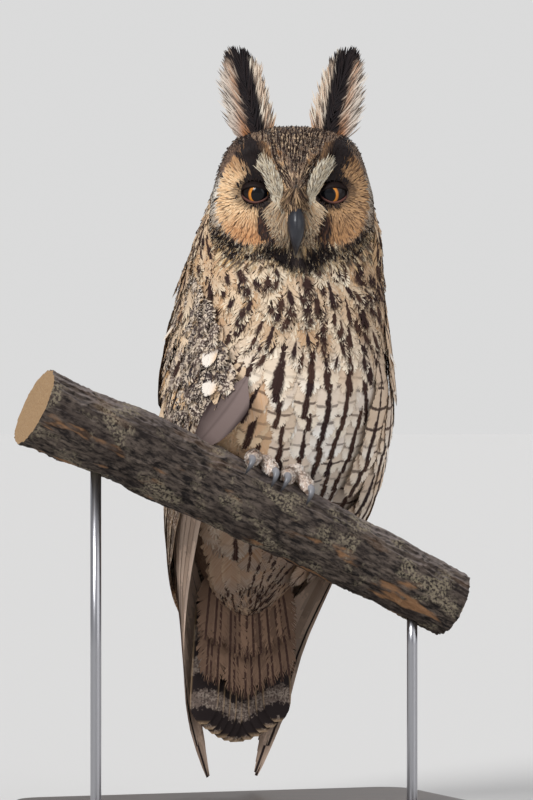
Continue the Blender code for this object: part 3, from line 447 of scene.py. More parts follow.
def make_mesh(name, made, material, replaces=(), smooth=True):
    """A mesh object from arrays of points and faces, with its attributes and maps."""
    points, faces = made["points"], made["faces"]
    fans = made.get("fans", np.zeros((0, 3), int))
    corner = np.concatenate([faces.ravel(), fans.ravel()]).astype(np.int32)
    starts = np.concatenate([np.arange(len(faces)) * 4, faces.size + np.arange(len(fans)) * 3])
    mesh = bpy.data.meshes.new(name)
    mesh.vertices.add(len(points))
    mesh.vertices.foreach_set("co", points.astype(np.float32).ravel())
    mesh.loops.add(len(corner))
    mesh.loops.foreach_set("vertex_index", corner)
    mesh.polygons.add(len(starts))
    mesh.polygons.foreach_set("loop_start", starts.astype(np.int32))
    mesh.polygons.foreach_set("use_smooth", np.full(len(starts), smooth))
    mesh.update(calc_edges=True)
    if "u" in made:
        layer = mesh.uv_layers.new(name="Feather")
        flat = np.column_stack([made["u"], made["v"] * 0.5 + 0.5])[corner]
        layer.data.foreach_set("uv", flat.astype(np.float32).ravel())
    if "bake" in made:
        layer = mesh.uv_layers.new(name="OFBake")
        layer.data.foreach_set("uv", made["bake"][corner].astype(np.float32).ravel())
    for key in ("tone", "mark"):
        if key in made:
            layer = mesh.attributes.new(key, "FLOAT_COLOR", "POINT")
            full = np.column_stack([made[key], np.ones(len(points))])
            layer.data.foreach_set("color", full.astype(np.float32).ravel())
    if "form" in made:
        layer = mesh.attributes.new("form", "FLOAT_VECTOR", "POINT")
        layer.data.foreach_set("vector", made["form"].astype(np.float32).ravel())
    if "chance" in made:
        layer = mesh.attributes.new("chance", "FLOAT", "POINT")
        layer.data.foreach_set("value", made["chance"].astype(np.float32))
    obj = bpy.data.objects.new(name, mesh)
    bpy.context.scene.collection.objects.link(obj)
    mesh.materials.append(material)
    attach(obj, "root")
    if replaces:
        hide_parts(*replaces)
    return obj


def grid_faces(rows, columns, around=False):
    """Quads of a grid of points, joined round its second way if asked."""
    i, j = np.meshgrid(np.arange(rows - 1), np.arange(columns if around else columns - 1), indexing="ij")
    near, far = (i * columns + j).ravel(), (i * columns + (j + 1) % columns).ravel()
    return np.stack([near, far, far + columns, near + columns], axis=1)


def tube_grid(path, radii, sides, up, flat=1.0):
    """Rings round a path, each a circle across it, closed by rings that shrink to its ends."""
    path = np.array(path, float)
    ahead = np.gradient(path, axis=0)
    ahead = ahead / np.linalg.norm(ahead, axis=1)[:, None]
    across = np.cross(ahead, np.array(up, float))
    across = across / np.linalg.norm(across, axis=1)[:, None]
    over = np.cross(across, ahead)
    turn = np.linspace(0, 2 * math.pi, sides, endpoint=False)
    radii = np.array(radii)[:, None, None]
    ring = np.cos(turn)[None, :, None] * across[:, None, :] + flat * np.sin(turn)[None, :, None] * over[:, None, :]
    points = path[:, None, :] + radii * ring
    return {"points": points.reshape(-1, 3), "faces": grid_faces(len(path), sides, True)[:, ::-1]}


# Materials


class Shader:
    """A material whose nodes are added and joined one by one."""

    def __init__(self, name, roughness=0.8, specular=0.25, **sockets):
        self.material = bpy.data.materials.new(name)
        self.material.use_nodes = True
        self.tree = self.material.node_tree
        self.surface = self.tree.nodes["Principled BSDF"]
        self.surface.inputs["Roughness"].default_value = roughness
        self.surface.inputs["Specular IOR Level"].default_value = specular
        for key, value in sockets.items():
            self.surface.inputs[key.replace("_", " ")].default_value = value

    def put(self, socket, value):
        if isinstance(value, bpy.types.NodeSocket):
            self.tree.links.new(value, socket)
        elif isinstance(value, (tuple, list, np.ndarray)) and socket.type == "RGBA" and len(value) == 3:
            socket.default_value = (*value, 1.0)
        else:
            socket.default_value = value

    def math(self, operation, first, second=0.0, third=0.0, clamp=False):
        node = self.tree.nodes.new("ShaderNodeMath")
        node.operation = operation
        node.use_clamp = clamp
        for socket, value in zip(node.inputs, (first, second, third)):
            self.put(socket, value)
        return node.outputs[0]

    def fade(self, value, low, high):
        node = self.tree.nodes.new("ShaderNodeMapRange")
        node.interpolation_type = "SMOOTHSTEP"
        for key, given in (("Value", value), ("From Min", low), ("From Max", high)):
            self.put(node.inputs[key], given)
        return node.outputs["Result"]

    def mix(self, share, first, second):
        node = self.tree.nodes.new("ShaderNodeMix")
        node.data_type = "RGBA"
        self.put(node.inputs[0], share)
        self.put(node.inputs[6], first)
        self.put(node.inputs[7], second)
        return node.outputs[2]

    def noise(self, scale, detail=2.0, vector=None, roughness=0.5):
        node = self.tree.nodes.new("ShaderNodeTexNoise")
        self.put(node.inputs["Scale"], scale)
        self.put(node.inputs["Detail"], detail)
        self.put(node.inputs["Roughness"], roughness)
        self.put(node.inputs["Vector"], vector if vector is not None else self.place())
        return node.outputs["Fac"]

    def place(self, stretch=None):
        """Object coordinates, stretched if asked."""
        node = self.tree.nodes.new("ShaderNodeTexCoord")
        if stretch is None:
            return node.outputs["Object"]
        mapping = self.tree.nodes.new("ShaderNodeMapping")
        self.tree.links.new(node.outputs["Object"], mapping.inputs["Vector"])
        mapping.inputs["Scale"].default_value = stretch
        return mapping.outputs["Vector"]

    def attribute(self, name):
        node = self.tree.nodes.new("ShaderNodeAttribute")
        node.attribute_name = name
        return node

    def feather(self):
        """Place along and across the feather."""
        node = self.tree.nodes.new("ShaderNodeUVMap")
        node.uv_map = "Feather"
        parts = self.tree.nodes.new("ShaderNodeSeparateXYZ")
        self.tree.links.new(node.outputs["UV"], parts.inputs[0])
        across = self.math("ABSOLUTE", self.math("MULTIPLY_ADD", parts.outputs[1], 2.0, -1.0))
        return parts.outputs[0], across

    def joined(self, x, y, z):
        node = self.tree.nodes.new("ShaderNodeCombineXYZ")
        for socket, value in zip(node.inputs, (x, y, z)):
            self.put(socket, value)
        return node.outputs[0]

    def colour(self, value):
        self.put(self.surface.inputs["Base Color"], value)

    def bump(self, height, distance, strength=0.6):
        node = self.tree.nodes.new("ShaderNodeBump")
        node.inputs["Distance"].default_value = distance
        node.inputs["Strength"].default_value = strength
        self.put(node.inputs["Height"], height)
        self.tree.links.new(node.outputs["Normal"], self.surface.inputs["Normal"])


def plumage_material(name, fine=0.22):
    """Feathers: ground colour, a dark shaft streak that widens to the tip, thin wavy cross bars, fine
    barb lines and a paler fringe. Form holds the streak's half width, the bars' strength and the
    fringe's."""
    s = Shader(name, 0.80, 0.15)
    u, x = s.feather()
    form = s.attribute("form")
    numbers = s.tree.nodes.new("ShaderNodeSeparateXYZ")
    s.tree.links.new(form.outputs["Vector"], numbers.inputs[0])
    streak, bar, fringe = numbers.outputs
    blotched = s.fade(streak, 1.0, 1.01)
    streak = s.math("SUBTRACT", streak, blotched)
    chance = s.attribute("chance").outputs["Fac"]
    coarse = s.noise(420.0, 2.0)
    wobble = s.math("MULTIPLY_ADD", coarse, 0.36, -0.18)
    barbs = s.joined(s.math("MULTIPLY", s.math("MULTIPLY_ADD", x, -0.35, u), 60.0), s.math("MULTIPLY", chance, 50.0), 0.0)
    grain = s.noise(1.0, 1.0, barbs)
    swell = s.math("MULTIPLY_ADD", s.fade(u, 0.35, 0.80), 0.62, 0.38)
    width = s.math("MULTIPLY", streak, swell)
    ragged = s.math("MULTIPLY_ADD", grain, 0.16, s.math("ADD", x, wobble))
    low = s.math("MULTIPLY_ADD", width, 0.82, 0.06)
    high = s.math("MULTIPLY_ADD", width, 1.10, 0.15)
    lines = s.math("MULTIPLY", s.math("SUBTRACT", 1.0, s.fade(ragged, low, high)), s.fade(streak, 0.0, 0.06))
    across = s.math("DIVIDE", x, s.math("MAXIMUM", s.math("MULTIPLY", streak, swell), 0.05))
    along = s.math("DIVIDE", s.math("SUBTRACT", u, 0.70), 0.27)
    radius = s.math("SQRT", s.math("ADD", s.math("MULTIPLY", across, across), s.math("MULTIPLY", along, along)))
    radius = s.math("ADD", s.math("MULTIPLY", wobble, 3.4), s.math("MULTIPLY_ADD", grain, 0.8, radius))
    blotch = s.math("SUBTRACT", 1.0, s.fade(radius, 1.00, 1.70))
    streaked = s.math("ADD", s.math("MULTIPLY", lines, s.math("SUBTRACT", 1.0, blotched)), s.math("MULTIPLY", blotch, blotched))
    wave = s.math("ADD", s.math("MULTIPLY", s.math("MULTIPLY", x, x), 0.035), s.math("MULTIPLY_ADD", wobble, 0.14, u))
    wave = s.math("MULTIPLY_ADD", chance, 0.05, wave)
    swing = s.math("COSINE", s.math("MULTIPLY", s.math("SUBTRACT", wave, 0.72), 6.283 / 0.31))
    barred = s.math("MULTIPLY", s.fade(swing, 0.80, 0.98), bar)
    dark = s.math("MAXIMUM", streaked, barred, clamp=True)
    pale = s.math("MULTIPLY", s.math("MAXIMUM", s.fade(x, 0.62, 1.0), s.fade(u, 0.90, 1.0)), fringe)
    tone = s.attribute("tone").outputs["Color"]
    mark = s.attribute("mark").outputs["Color"]
    lit = s.mix(s.math("MULTIPLY", s.fade(grain, 0.3, 0.7), fine), tone, (0.95, 0.90, 0.82))
    lit = s.mix(pale, lit, tuple(CREAM))
    base = s.math("SUBTRACT", 1.0, s.fade(u, 0.62, 0.92))
    lit = s.mix(s.math("MULTIPLY", base, 0.34), lit, tuple(linear(178, 136, 98)))
    lit = s.mix(s.math("MULTIPLY", s.math("MULTIPLY", chance, coarse), 0.20), lit, tuple(UMBER))
    s.colour(s.mix(dark, lit, mark))
    s.bump(grain, 0.0002, 0.4)
    return s.material


def hair_material(name, rough=0.7):
    """Fine strands: ground colour to mark colour from root to tip, with a chance of shade."""
    s = Shader(name, rough, 0.22)
    u, x = s.feather()
    chance = s.attribute("chance").outputs["Fac"]
    tone = s.attribute("tone").outputs["Color"]
    mark = s.attribute("mark").outputs["Color"]
    mixed = s.mix(s.fade(s.math("MULTIPLY_ADD", chance, 0.3, u), 0.25, 1.05), tone, mark)
    s.colour(s.mix(s.math("MULTIPLY", chance, 0.22), mixed, tuple(UMBER)))
    return s.material


# Places of feathers over the body


def scatter(random, low, high, row_gap, gap, keep, stagger=0.5, number=0):
    """Roots in staggered rows up the body between two heights, with a little chance. Number sets how
    many each row has, so that they stand in lines, and else the gap does. Keep tells from heights and
    degrees round the body which of them stay."""
    ways = np.arange(float(way_at(low)), float(way_at(high)), row_gap)
    rows = []
    for i, way in enumerate(ways):
        radius = float(np.interp(way, BODY_WAY, MEAN_RADIUS))
        count = number or max(5, int(2 * math.pi * radius / gap))
        turn = (np.arange(count) + stagger * (i % 2)) * 2 * math.pi / count - math.pi
        jitter = 0.14 if not number else 0.035
        turn = turn + random.normal(0, jitter * 2 * math.pi / count, count)
        rows.append(np.column_stack([np.full(count, way), turn]))
    way, angle = np.concatenate(rows).T
    way = np.minimum(way + random.normal(0, 0.2 * row_gap, len(way)), BODY_LENGTH - 0.0004)
    height = np.interp(way, BODY_WAY, BODY_ROWS[:, 0]) * MM
    degrees = (np.degrees(angle) + 180) % 360 - 180
    kept = keep(height, degrees)
    return way[kept], angle[kept], height[kept], degrees[kept]


def under_wing(height, degrees, margin):
    """Whether a place is hidden by a folded wing."""
    edge = np.interp(height / MM, EDGE_ROWS[:, 0], EDGE_ROWS[:, 1])
    return (height < 0.312) & (np.abs(degrees) > edge + margin)


def body_look(height, degrees, random, streaked):
    """Ground colour, mark colour and pattern numbers of feathers by height and degrees round the body, with painted
    shade darkening the vent below the perch.
    """
    count = len(height)
    away, chance = np.abs(degrees), random.random(count)
    belly = blend(linear(240, 226, 206), linear(250, 246, 240), chance)
    breast = blend(linear(194, 156, 112), linear(242, 228, 202), chance)
    flank = blend(linear(200, 152, 104), linear(224, 194, 154), chance)
    # painted shade: the vent below the perch is drawn dark taupe
    painted_vent_shade = blend(linear(112, 88, 72), linear(150, 122, 100), chance)
    back = blend(linear(84, 70, 62), linear(150, 122, 90), chance)
    tone = blend(belly, breast, fade(height, 0.250, 0.292))
    tone = blend(tone, flank, fade(away, 30, 62) * 0.40)
    warm = fade(-degrees, 16, 34) * fade(height, 0.190, 0.205) * (1 - fade(height, 0.250, 0.275))
    tone = blend(tone, blend(linear(206, 150, 94), linear(238, 206, 160), chance), warm * 0.85)
    # blends the painted shade in below about 0.19 m
    tone = blend(tone, painted_vent_shade, fade(-height, -0.192, -0.166))
    behind = fade(away, 84, 116)
    tone = blend(tone, back, behind)
    mark = blend(blend(linear(46, 31, 31), linear(78, 54, 42), random.random(count) * 0.7), linear(40, 32, 31), behind)
    high = fade(height, 0.250, 0.290)
    streak = (0.19 + 0.05 * random.random(count) + 0.15 * high * random.uniform(0.2, 1.5, count)) * np.where(streaked, 1.0, 0.0)
    streak = streak * (1 - 0.70 * fade(-height, -0.185, -0.160))
    bars = 0.72 * (1 - high) * fade(height, 0.165, 0.190) + 0.55 * behind
    bars = np.clip(bars * random.uniform(0.5, 1.3, count), 0, 1)
    return tone, mark, np.column_stack([streak, bars, 0.25 + 0.30 * behind])


def flow_turn(height, degrees):
    """How far the feathers' lie turns from straight down the body, in degrees: over the wings on the
    breast's sides, and towards the feet low on the left flank."""
    right = -30 * fade(-degrees, 2, 42) * fade(height, 0.205, 0.262) * (1 - fade(height, 0.292, 0.318))
    left = 20 * fade(degrees, 18, 58) * fade(height, 0.240, 0.285) * (1 - fade(height, 0.300, 0.325))
    low = -11 * fade(degrees, 8, 45) * (1 - fade(height, 0.205, 0.260))
    return right + left + low


def face_root(side, up):
    """The body's parameters of a place on the face."""
    height = EYE_HEIGHT + up
    wide, front = columns_at(BODY_ROWS, height)[3:5]
    power = 2.25 + 0.75 * fade(height, HEAD_BASE - 0.004, EYE_HEIGHT - 0.012)
    share = np.clip(np.abs(side) / (wide * MM), 0, 0.985)
    ahead = front * MM * (1 - share**power) ** (1 / power)
    return way_at(height), np.arctan2(np.sign(side) * share * wide * MM, ahead)


def face_way(side, up, back=0.0):
    """World directions of moves beside, up and behind the face."""
    turn = math.radians(HEAD_ROW[2])
    beside = np.array([math.cos(turn), math.sin(turn), 0.0])
    behind = np.array([-math.sin(turn), math.cos(turn), 0.0])
    side, up, back = np.broadcast_arrays(np.asarray(side, float), up, back)
    return side[..., None] * beside + up[..., None] * np.array([0.0, 0.0, 1.0]) + back[..., None] * behind


def from_line(side, up, corners):
    """Distance in millimetres from a bent line on the face, given by its corners, and the share of
    the way along it."""
    best = np.full(len(side), 1e9)
    along = np.zeros(len(side))
    corners = np.array(corners, float)
    for i, (start, end) in enumerate(zip(corners[:-1], corners[1:])):
        way = end - start
        x, z = side / MM - start[0], up / MM - start[1]
        part = np.clip((x * way[0] + z * way[1]) / (way @ way), 0, 1)
        distance = np.hypot(x - part * way[0], z - part * way[1])
        nearer = distance < best
        along = np.where(nearer, (i + part) / (len(corners) - 1), along)
        best = np.where(nearer, distance, best)
    return best, along


def spot(side, up, x, z, wide, high, lean=0.0):
    """A soft oval mark on the face, in millimetres, 1 at its middle."""
    a, b = side / MM - x, up / MM - z
    c, s = math.cos(math.radians(lean)), math.sin(math.radians(lean))
    return np.exp(-(((a * c + b * s) / wide) ** 2) - ((b * c - a * s) / high) ** 2)


BROW_LINE = ((6.6, -16.0), (7.6, -10.5), (8.3, -4.2), (10.6, 2.2), (13.2, 7.6), (16.2, 12.0))
RUFF_LINE = ((-44, -15), (-38, -20), (-31, -24), (-24, -25), (-18, -22), (-12.4, -26), (-4.9, -32.5), (4.1, -34.8), (12, -29), (18, -23), (26, -25), (34, -22), (41, -14))


# Black marks of the face: middle beside and up, half sizes, lean and strength
DARK_SPOTS = (
    (20.5, 10.0, 4.4, 7.5, -14, 1.6),
    (22.5, 20.0, 6.2, 9.5, -12, 1.5),
    (23.0, 31.0, 9.0, 8.0, 0, 1.5),
    (14.6, -8.0, 3.8, 6.5, -28, 1.05),
    (17.0, -15.5, 2.8, 6.8, -8, 1.15),
    (15.4, -8.5, 3.5, 5.0, -20, 1.2),
    (7.0, -28.0, 9.0, 7.0, 0, 1.1),
)


def face_ring(side, up):
    """1 on the rim of a facial disc and less inside it."""
    return np.hypot((np.abs(side) - 0.0215) / 0.0205, (up + 0.0025) / np.where(up > -0.0025, 0.0270, 0.0245))


def darkness(side, up):
    """How black the face is: round the eyes, above and below them, up to the ear tufts and beside the
    bill's lower half."""
    away = np.abs(side)
    dark = np.exp(-(np.maximum(np.hypot((away - 0.0210) / 0.0088, (up - 0.0004) / 0.0066) - 1.0, 0) / 0.20) ** 2)
    for x, z, wide, high, lean, much in DARK_SPOTS:
        dark = np.maximum(dark, much * spot(away, up, x, z, wide, high, lean))
    return np.clip(dark, 0, 1)


def face_tone(side, up, random):
    """Ground colours of the hairs of the facial discs, darker and browner on the owl's left half as painted shade."""
    x, z, ring = side / MM, up / MM, face_ring(side, up)
    count = len(side)
    chance = random.random(count)
    tone = blend(linear(222, 178, 130), linear(242, 212, 172), chance)
    tone = blend(tone, blend(linear(154, 108, 70), linear(196, 148, 102), chance), fade(z, 4, 17) * 0.85)
    tone = blend(tone, blend(linear(172, 108, 64), linear(212, 154, 100), chance), fade(-z, 7, 20) * 0.8)
    # painted shade: the owl's left half of the discs (positive side) is darker and browner
    right = blend(linear(176, 136, 94), linear(136, 100, 68), chance)
    tone = blend(tone, right, fade(x, 5, 12) * 0.80)
    tone = blend(tone, linear(214, 192, 166), fade(ring, 0.80, 1.0) * 0.5 * (1 - fade(z, 4, 16)))
    streak = (random.random(count) < np.where(x > 0, 0.28, 0.12)) * fade(ring, 0.3, 0.6)
    return blend(tone, linear(74, 50, 38), streak * 0.8)


def skin_tone(way, angle):
    """The coat's mean colour and markings at a place, made a little darker as painted shade for the skin under the
    coat.
    """
    height = np.interp(way, BODY_WAY, BODY_ROWS[:, 0]) * MM
    degrees = (np.degrees(angle) + 180) % 360 - 180
    random = np.random.default_rng(3)
    tone = body_look(height, degrees, random, np.zeros(len(height), bool))[0]
    point = body_point(way, angle)
    turn = math.radians(HEAD_ROW[2])
    x = point[:, 0] - BODY_X - HEAD_ROW[0] * MM
    y = point[:, 1] - BODY_Y - HEAD_ROW[1] * MM
    side, up = x * math.cos(turn) + y * math.sin(turn), height - EYE_HEIGHT
    ahead = x * math.sin(turn) - y * math.cos(turn)
    on_face = fade(ahead, 0.006, 0.014) * fade(1.15 - face_ring(side, up), 0.0, 0.1)
    tone = blend(tone, face_tone(side, up, random), on_face)
    crown = fade(height, 0.366, 0.376)
    tone = blend(tone, linear(70, 54, 48), crown)
    # 0.62 darkens the skin as painted shade under the feathers
    return blend(tone, BLACK, darkness(side, up) * fade(ahead, 0.006, 0.014)) * 0.62


# Body pieces


def make_skin(depth):
    """The body's surface sunk by the coat's depth, closed at both poles, with pits behind the eyes."""
    rows, columns = 300, 320
    way = np.linspace(0.0006, BODY_LENGTH - 0.0006, rows)
    angle = np.linspace(0, 2 * math.pi, columns, endpoint=False)
    ways, angles = [part.ravel() for part in np.meshgrid(way, angle, indexing="ij")]
    height = np.interp(ways, BODY_WAY, BODY_ROWS[:, 0]) * MM
    sunk = depth * (1 - 0.5 * fade(height, 0.315, 0.335))
    near_pole = np.minimum(np.interp(ways, BODY_WAY, MEAN_RADIUS), 1.0) * 0.45
    points = body_point(ways, angles, -np.minimum(sunk, near_pole))
    points[:, 2] -= sunk * fade(ways, BODY_LENGTH - 0.03, BODY_LENGTH)
    for sign in (-1, 1):
        centre = head_place(sign * EYE_SPREAD, EYE_DEPTH, EYE_HEIGHT)
        away = points - centre
        distance = np.linalg.norm(away, axis=1)
        front = away[:, 1] < 0.004
        flat = np.hypot(away[:, 0], away[:, 2])
        pit = front * (1 - fade(flat, 0.0068, 0.0088)) * 0.014
        points[:, 1] += pit * (distance < 0.03)
    low_pole, high_pole = points[:columns].mean(0), points[-columns:].mean(0)
    faces = grid_faces(rows, columns, True)
    last = len(points)
    ring = np.arange(columns)
    after = (ring + 1) % columns
    fans = np.concatenate(
        [
            np.column_stack([after, ring, np.full(columns, last)]),
            np.column_stack([ring + last - columns, after + last - columns, np.full(columns, last + 1)]),
        ]
    )
    tone = skin_tone(ways, angles)
    made = {"points": np.vstack([points, low_pole, high_pole]), "faces": faces, "fans": fans}
    made["tone"] = np.vstack([tone, tone[:1], tone[-1:]])
    bake = bake_root(ways, angles)
    made["bake"] = np.vstack([bake, bake[:1], bake[-1:]])
    return made


def body_coat(random, roots, length, half_width, pattern, look, lift, spread=6.0, jitter=0.4, swirl=0.0002, steps=6):
    """Feathers that hang down the body from their roots."""
    way, angle, height, degrees = roots
    count = len(way)
    size = random.normal(1.0, 0.09, count)
    turn = flow_turn(height, degrees) + random.normal(0, spread, count)
    lines = grow(body_point, way, angle, heading(turn), length * size, steps)
    laid = lay(pattern, lines, half_width * size, lift, random, jitter, swirl, 0.0007)
    return paint(laid, *look, bake_root(way, angle), random)


def make_belly(g):
    """The pale under parts: soft feathers, and over them larger ones with a dark shaft streak that
    stand in lines down the body."""
    random = np.random.default_rng(SEED + 1)
    parts = []

    def shown(height, degrees):
        return ~under_wing(height, degrees, 9.0) & (np.abs(degrees) < 100)

    soft = scatter(random, 0.118, 0.262, g.row_gap, g.gap, shown)
    look = body_look(soft[2], soft[3], random, np.zeros(len(soft[2]), bool))
    look[2][:, 1] *= 0.3
    look[2][:, 0] = 0.10 * fade(-soft[2], -0.170, -0.150)
    size = 0.026 + 0.014 * fade(-soft[2], -0.170, -0.140)
    parts.append(body_coat(random, soft, size, 0.0066, barb_pattern(16, 0.28, 3.5, 1.8), look, (-0.0016, 0.0002)))

    def over_edge(height, degrees):
        margin = np.where(degrees > 0, 42.0, np.where(height > 0.262, 12.0, -3.0))
        return ~under_wing(height, degrees, margin) & (np.abs(degrees) < 108)

    rows = scatter(random, 0.156, 0.280, 0.0096, 0.0, over_edge, 0.0, g.mark_count)
    edge = np.interp(rows[2] / MM, EDGE_ROWS[:, 0], EDGE_ROWS[:, 1])
    look = body_look(rows[2], rows[3], random, np.ones(len(rows[2]), bool))
    on_wing = np.where(rows[2] < 0.312, fade(np.abs(rows[3]) - edge, -13, 3), 0)
    on_wing = on_wing * np.where(rows[3] > 0, 0.9, fade(rows[2], 0.245, 0.268))
    lines_lift = (-0.0006 + 0.004 * on_wing, random.uniform(0.0007, 0.0013, len(rows[2])) + 0.0062 * on_wing)
    parts.append(body_coat(random, rows, 0.0315, 0.0080, barb_pattern(30, 0.17, 6.0, 2.3), look, lines_lift, 2.4, 0.13, 0.00005))
    return join(parts)


def make_breast(g):
    """Smaller feathers with broad dark marks, from the breast up to the chin and round to the nape."""
    random = np.random.default_rng(SEED + 2)
    parts = []

    def shown(height, degrees):
        off_face = (height < np.where(np.abs(degrees) < 10, 0.3150, 0.326)) | (np.abs(degrees) > 74)
        return ~under_wing(height, degrees, np.where(degrees > 0, 36.0, 14.0)) & (np.abs(degrees) < 112) & off_face

    soft = scatter(random, 0.270, 0.330, g.row_gap * 0.9, g.gap * 0.85, shown)
    look = body_look(soft[2], soft[3], random, np.zeros(len(soft[2]), bool))
    parts.append(body_coat(random, soft, 0.019, 0.0050, barb_pattern(12, 0.32, 3.5, 1.5), look, (-0.0014, 0.0001)))
    rows = scatter(random, 0.274, 0.336, 0.0062, 0.0, shown, 0.5, 42)
    dark = np.exp(-(((rows[3] + 6) / 20) ** 2) - ((rows[2] - 0.306) / 0.013) ** 2)
    dark = np.maximum(dark, 0.8 * fade(rows[3], 18, 40) * fade(rows[2], 0.268, 0.285))
    look = body_look(rows[2], rows[3], random, random.random(len(rows[2])) < 0.84 + 0.16 * dark)
    size = (0.34 + 0.24 * dark) * random.uniform(0.6, 1.4, len(rows[2]))
    blotched = random.random(len(rows[2])) < 0.75
    look[2][:, 0] = np.where(look[2][:, 0] > 0, np.where(blotched, 1.0, 0.0) + np.clip(size, 0.1, 0.62), 0.0)
    look[0][:] = blend(look[0], linear(112, 82, 60), np.clip(dark + 0.25, 0, 1) * random.random(len(dark)) ** 2 * 0.9)
    edge = np.interp(rows[2] / MM, EDGE_ROWS[:, 0], EDGE_ROWS[:, 1])
    on_wing = np.where(rows[2] < 0.318, fade(np.abs(rows[3]) - edge, -13, 3), 0)
    lines_lift = (-0.0008 + 0.002 * on_wing, random.uniform(0.0006, 0.0014, len(rows[2])) + np.where(rows[3] > 0, 0.0030, 0.0056) * on_wing)
    parts.append(body_coat(random, rows, 0.0215, 0.0058, barb_pattern(18, 0.27, 4.0, 1.45), look, lines_lift, 11, 0.6))
    return join(parts)


def make_nape(g):
    """Dark feathers with buff fringes over the back of the neck and head and the wings' upper ends."""
    random = np.random.default_rng(SEED + 3)
    parts = []

    def shown(height, degrees):
        return (np.abs(degrees) > 84) | ((np.abs(degrees) > 66) & (height > 0.312))

    rows = scatter(random, 0.286, 0.376, 0.0046, 0.0054, shown)
    size = 0.018 - 0.007 * fade(rows[2], 0.325, 0.372)
    look = body_look(rows[2], rows[3], random, random.random(len(rows[2])) < 0.7)
    warm = (random.random(len(rows[2])) < 0.36) * random.uniform(0.3, 0.8, len(rows[2]))
    look[0][:] = blend(look[0], linear(190, 158, 116), warm)
    look[2][:, 1] *= 0.3
    parts.append(body_coat(random, rows, size, size * 0.27, barb_pattern(12, 0.30, 3.5, 1.45), look, (-0.0012, 0.0006), 9))

    def over_wing(height, degrees):
        return (np.abs(degrees) > 66) & (random.random(len(height)) < 0.15 + 0.85 * fade(height, 0.284, 0.308))

    rows = scatter(random, 0.284, 0.330, 0.0048, 0.0062, over_wing)
    look = body_look(rows[2], rows[3], random, random.random(len(rows[2])) < 0.8)
    warm = (random.random(len(rows[2])) < 0.45) * random.uniform(0.3, 0.9, len(rows[2]))
    look[0][:] = blend(look[0], linear(204, 164, 112), warm)
    look[2][:, 1] *= 0.3
    lift = np.where(rows[3] > 0, 0.0024, 0.0024) + 0.0062 * (1 - fade(rows[2], 0.288, 0.308)) * fade(np.abs(rows[3]), 96, 120)
    lift = lift * fade(np.abs(rows[3]), 74, 96)
    parts.append(body_coat(random, rows, 0.027, 0.0066, barb_pattern(18, 0.27, 4.0, 1.45), look, (0.0, lift), 8))
    # Down the middle of the back, over the wings' rear edges
    rows = scatter(random, 0.170, 0.300, 0.0085, 0.0085, lambda height, degrees: np.abs(degrees) > 156)
    look = body_look(rows[2], rows[3], random, random.random(len(rows[2])) < 0.8)
    warm = (random.random(len(rows[2])) < 0.30) * random.uniform(0.3, 0.8, len(rows[2]))
    look[0][:] = blend(look[0], linear(188, 150, 104), warm)
    look[2][:, 1] *= 0.4
    lifts = (0.0030, random.uniform(0.0098, 0.0114, len(rows[2])))
    parts.append(body_coat(random, rows, 0.032, 0.0080, barb_pattern(30, 0.18, 5.5, 2.2), look, lifts, 7, 0.2))
    return join(parts)


def crown_way(point, up, aside):
    """Up the forehead, back over the crown and down behind it."""
    rise = np.clip((BODY_Y + HEAD_ROW[1] * MM - 0.004 - point[:, 1]) / 0.018, -1, 1)
    lean = (point[:, 0] - BODY_X - HEAD_ROW[0] * MM) * 14
    return np.column_stack([lean, np.full(len(rise), 0.9), rise])


def make_crown(g):
    """Small pointed speckled feathers from the bill's root over the crown."""
    random = np.random.default_rng(SEED + 4)
    roots = scatter(random, 0.3650, 0.3896, 0.0026, 0.0030, lambda h, d: np.abs(d) < 400)
    place = body_point(roots[0], roots[1])
    front = place[:, 1] < BODY_Y - 0.012
    x = place[:, 0] - 0.0244
    ring = face_ring(place[:, 0] - BODY_X - HEAD_ROW[0] * MM, roots[2] - EYE_HEIGHT)
    keep = ~(front & (ring < 1.0) & (np.abs(x) > 0.012))
    way, angle = roots[0][keep], roots[1][keep]
    grid = np.column_stack([random.uniform(-0.019, 0.019, 960), random.uniform(-0.006, 0.034, 960)])
    inside = np.abs(grid[:, 0]) < 0.0012 + 0.50 * np.maximum(grid[:, 1] + 0.004, 0)
    more_way, more_angle = face_root(grid[inside, 0], grid[inside, 1])
    way, angle = np.concatenate([way, more_way]), np.concatenate([angle, more_angle])
    count = len(way)
    lines = grow(body_point, way, angle, crown_way, random.uniform(0.0070, 0.0098, count), 5)
    laid = lay(barb_pattern(6, 0.32, 2.0), lines, 0.0019, (-0.0008, random.uniform(0.0004, 0.0016, count)), random, 0.7, 0.0002, 0.0003)
    chance = random.random(count)
    tone = blend(linear(46, 34, 29), linear(214, 186, 150), (chance > 0.60) * random.uniform(0.35, 1.0, count))
    start = body_point(way, angle)
    shade = spot(np.abs(start[:, 0] - BODY_X - HEAD_ROW[0] * MM), start[:, 2] - EYE_HEIGHT, 22, 29, 7, 9)
    tone = blend(tone, linear(30, 23, 23), np.clip(1.5 * shade, 0, 1) * (start[:, 1] < BODY_Y))
    mark = np.broadcast_to(linear(46, 32, 28), (count, 3))
    form = np.column_stack([np.where(chance > 0.50, 0.28, 0.1), np.full(count, 0.45), np.full(count, 0.12)])
    return paint(laid, tone, mark, form, bake_root(way, angle), random)


def face_hairs(random, side, up, direction, length, half_width, lift, tone, tip, pattern=None, bend=1.0):
    """Fine strips on the face from their roots, lying the way of a direction beside, up and behind."""
    way, angle = face_root(side, up)
    wanted = face_way(*direction)

    def flow(point, along, aside):
        return wanted

    lines = grow(body_point, way, angle, flow, length, 4)
    laid = lay(pattern or hair_pattern(4), lines, half_width, lift, random, 0.0, 0.00012)
    form = np.zeros((len(side), 3))
    return paint(laid, tone, tip, form, bake_root(way, angle), random)


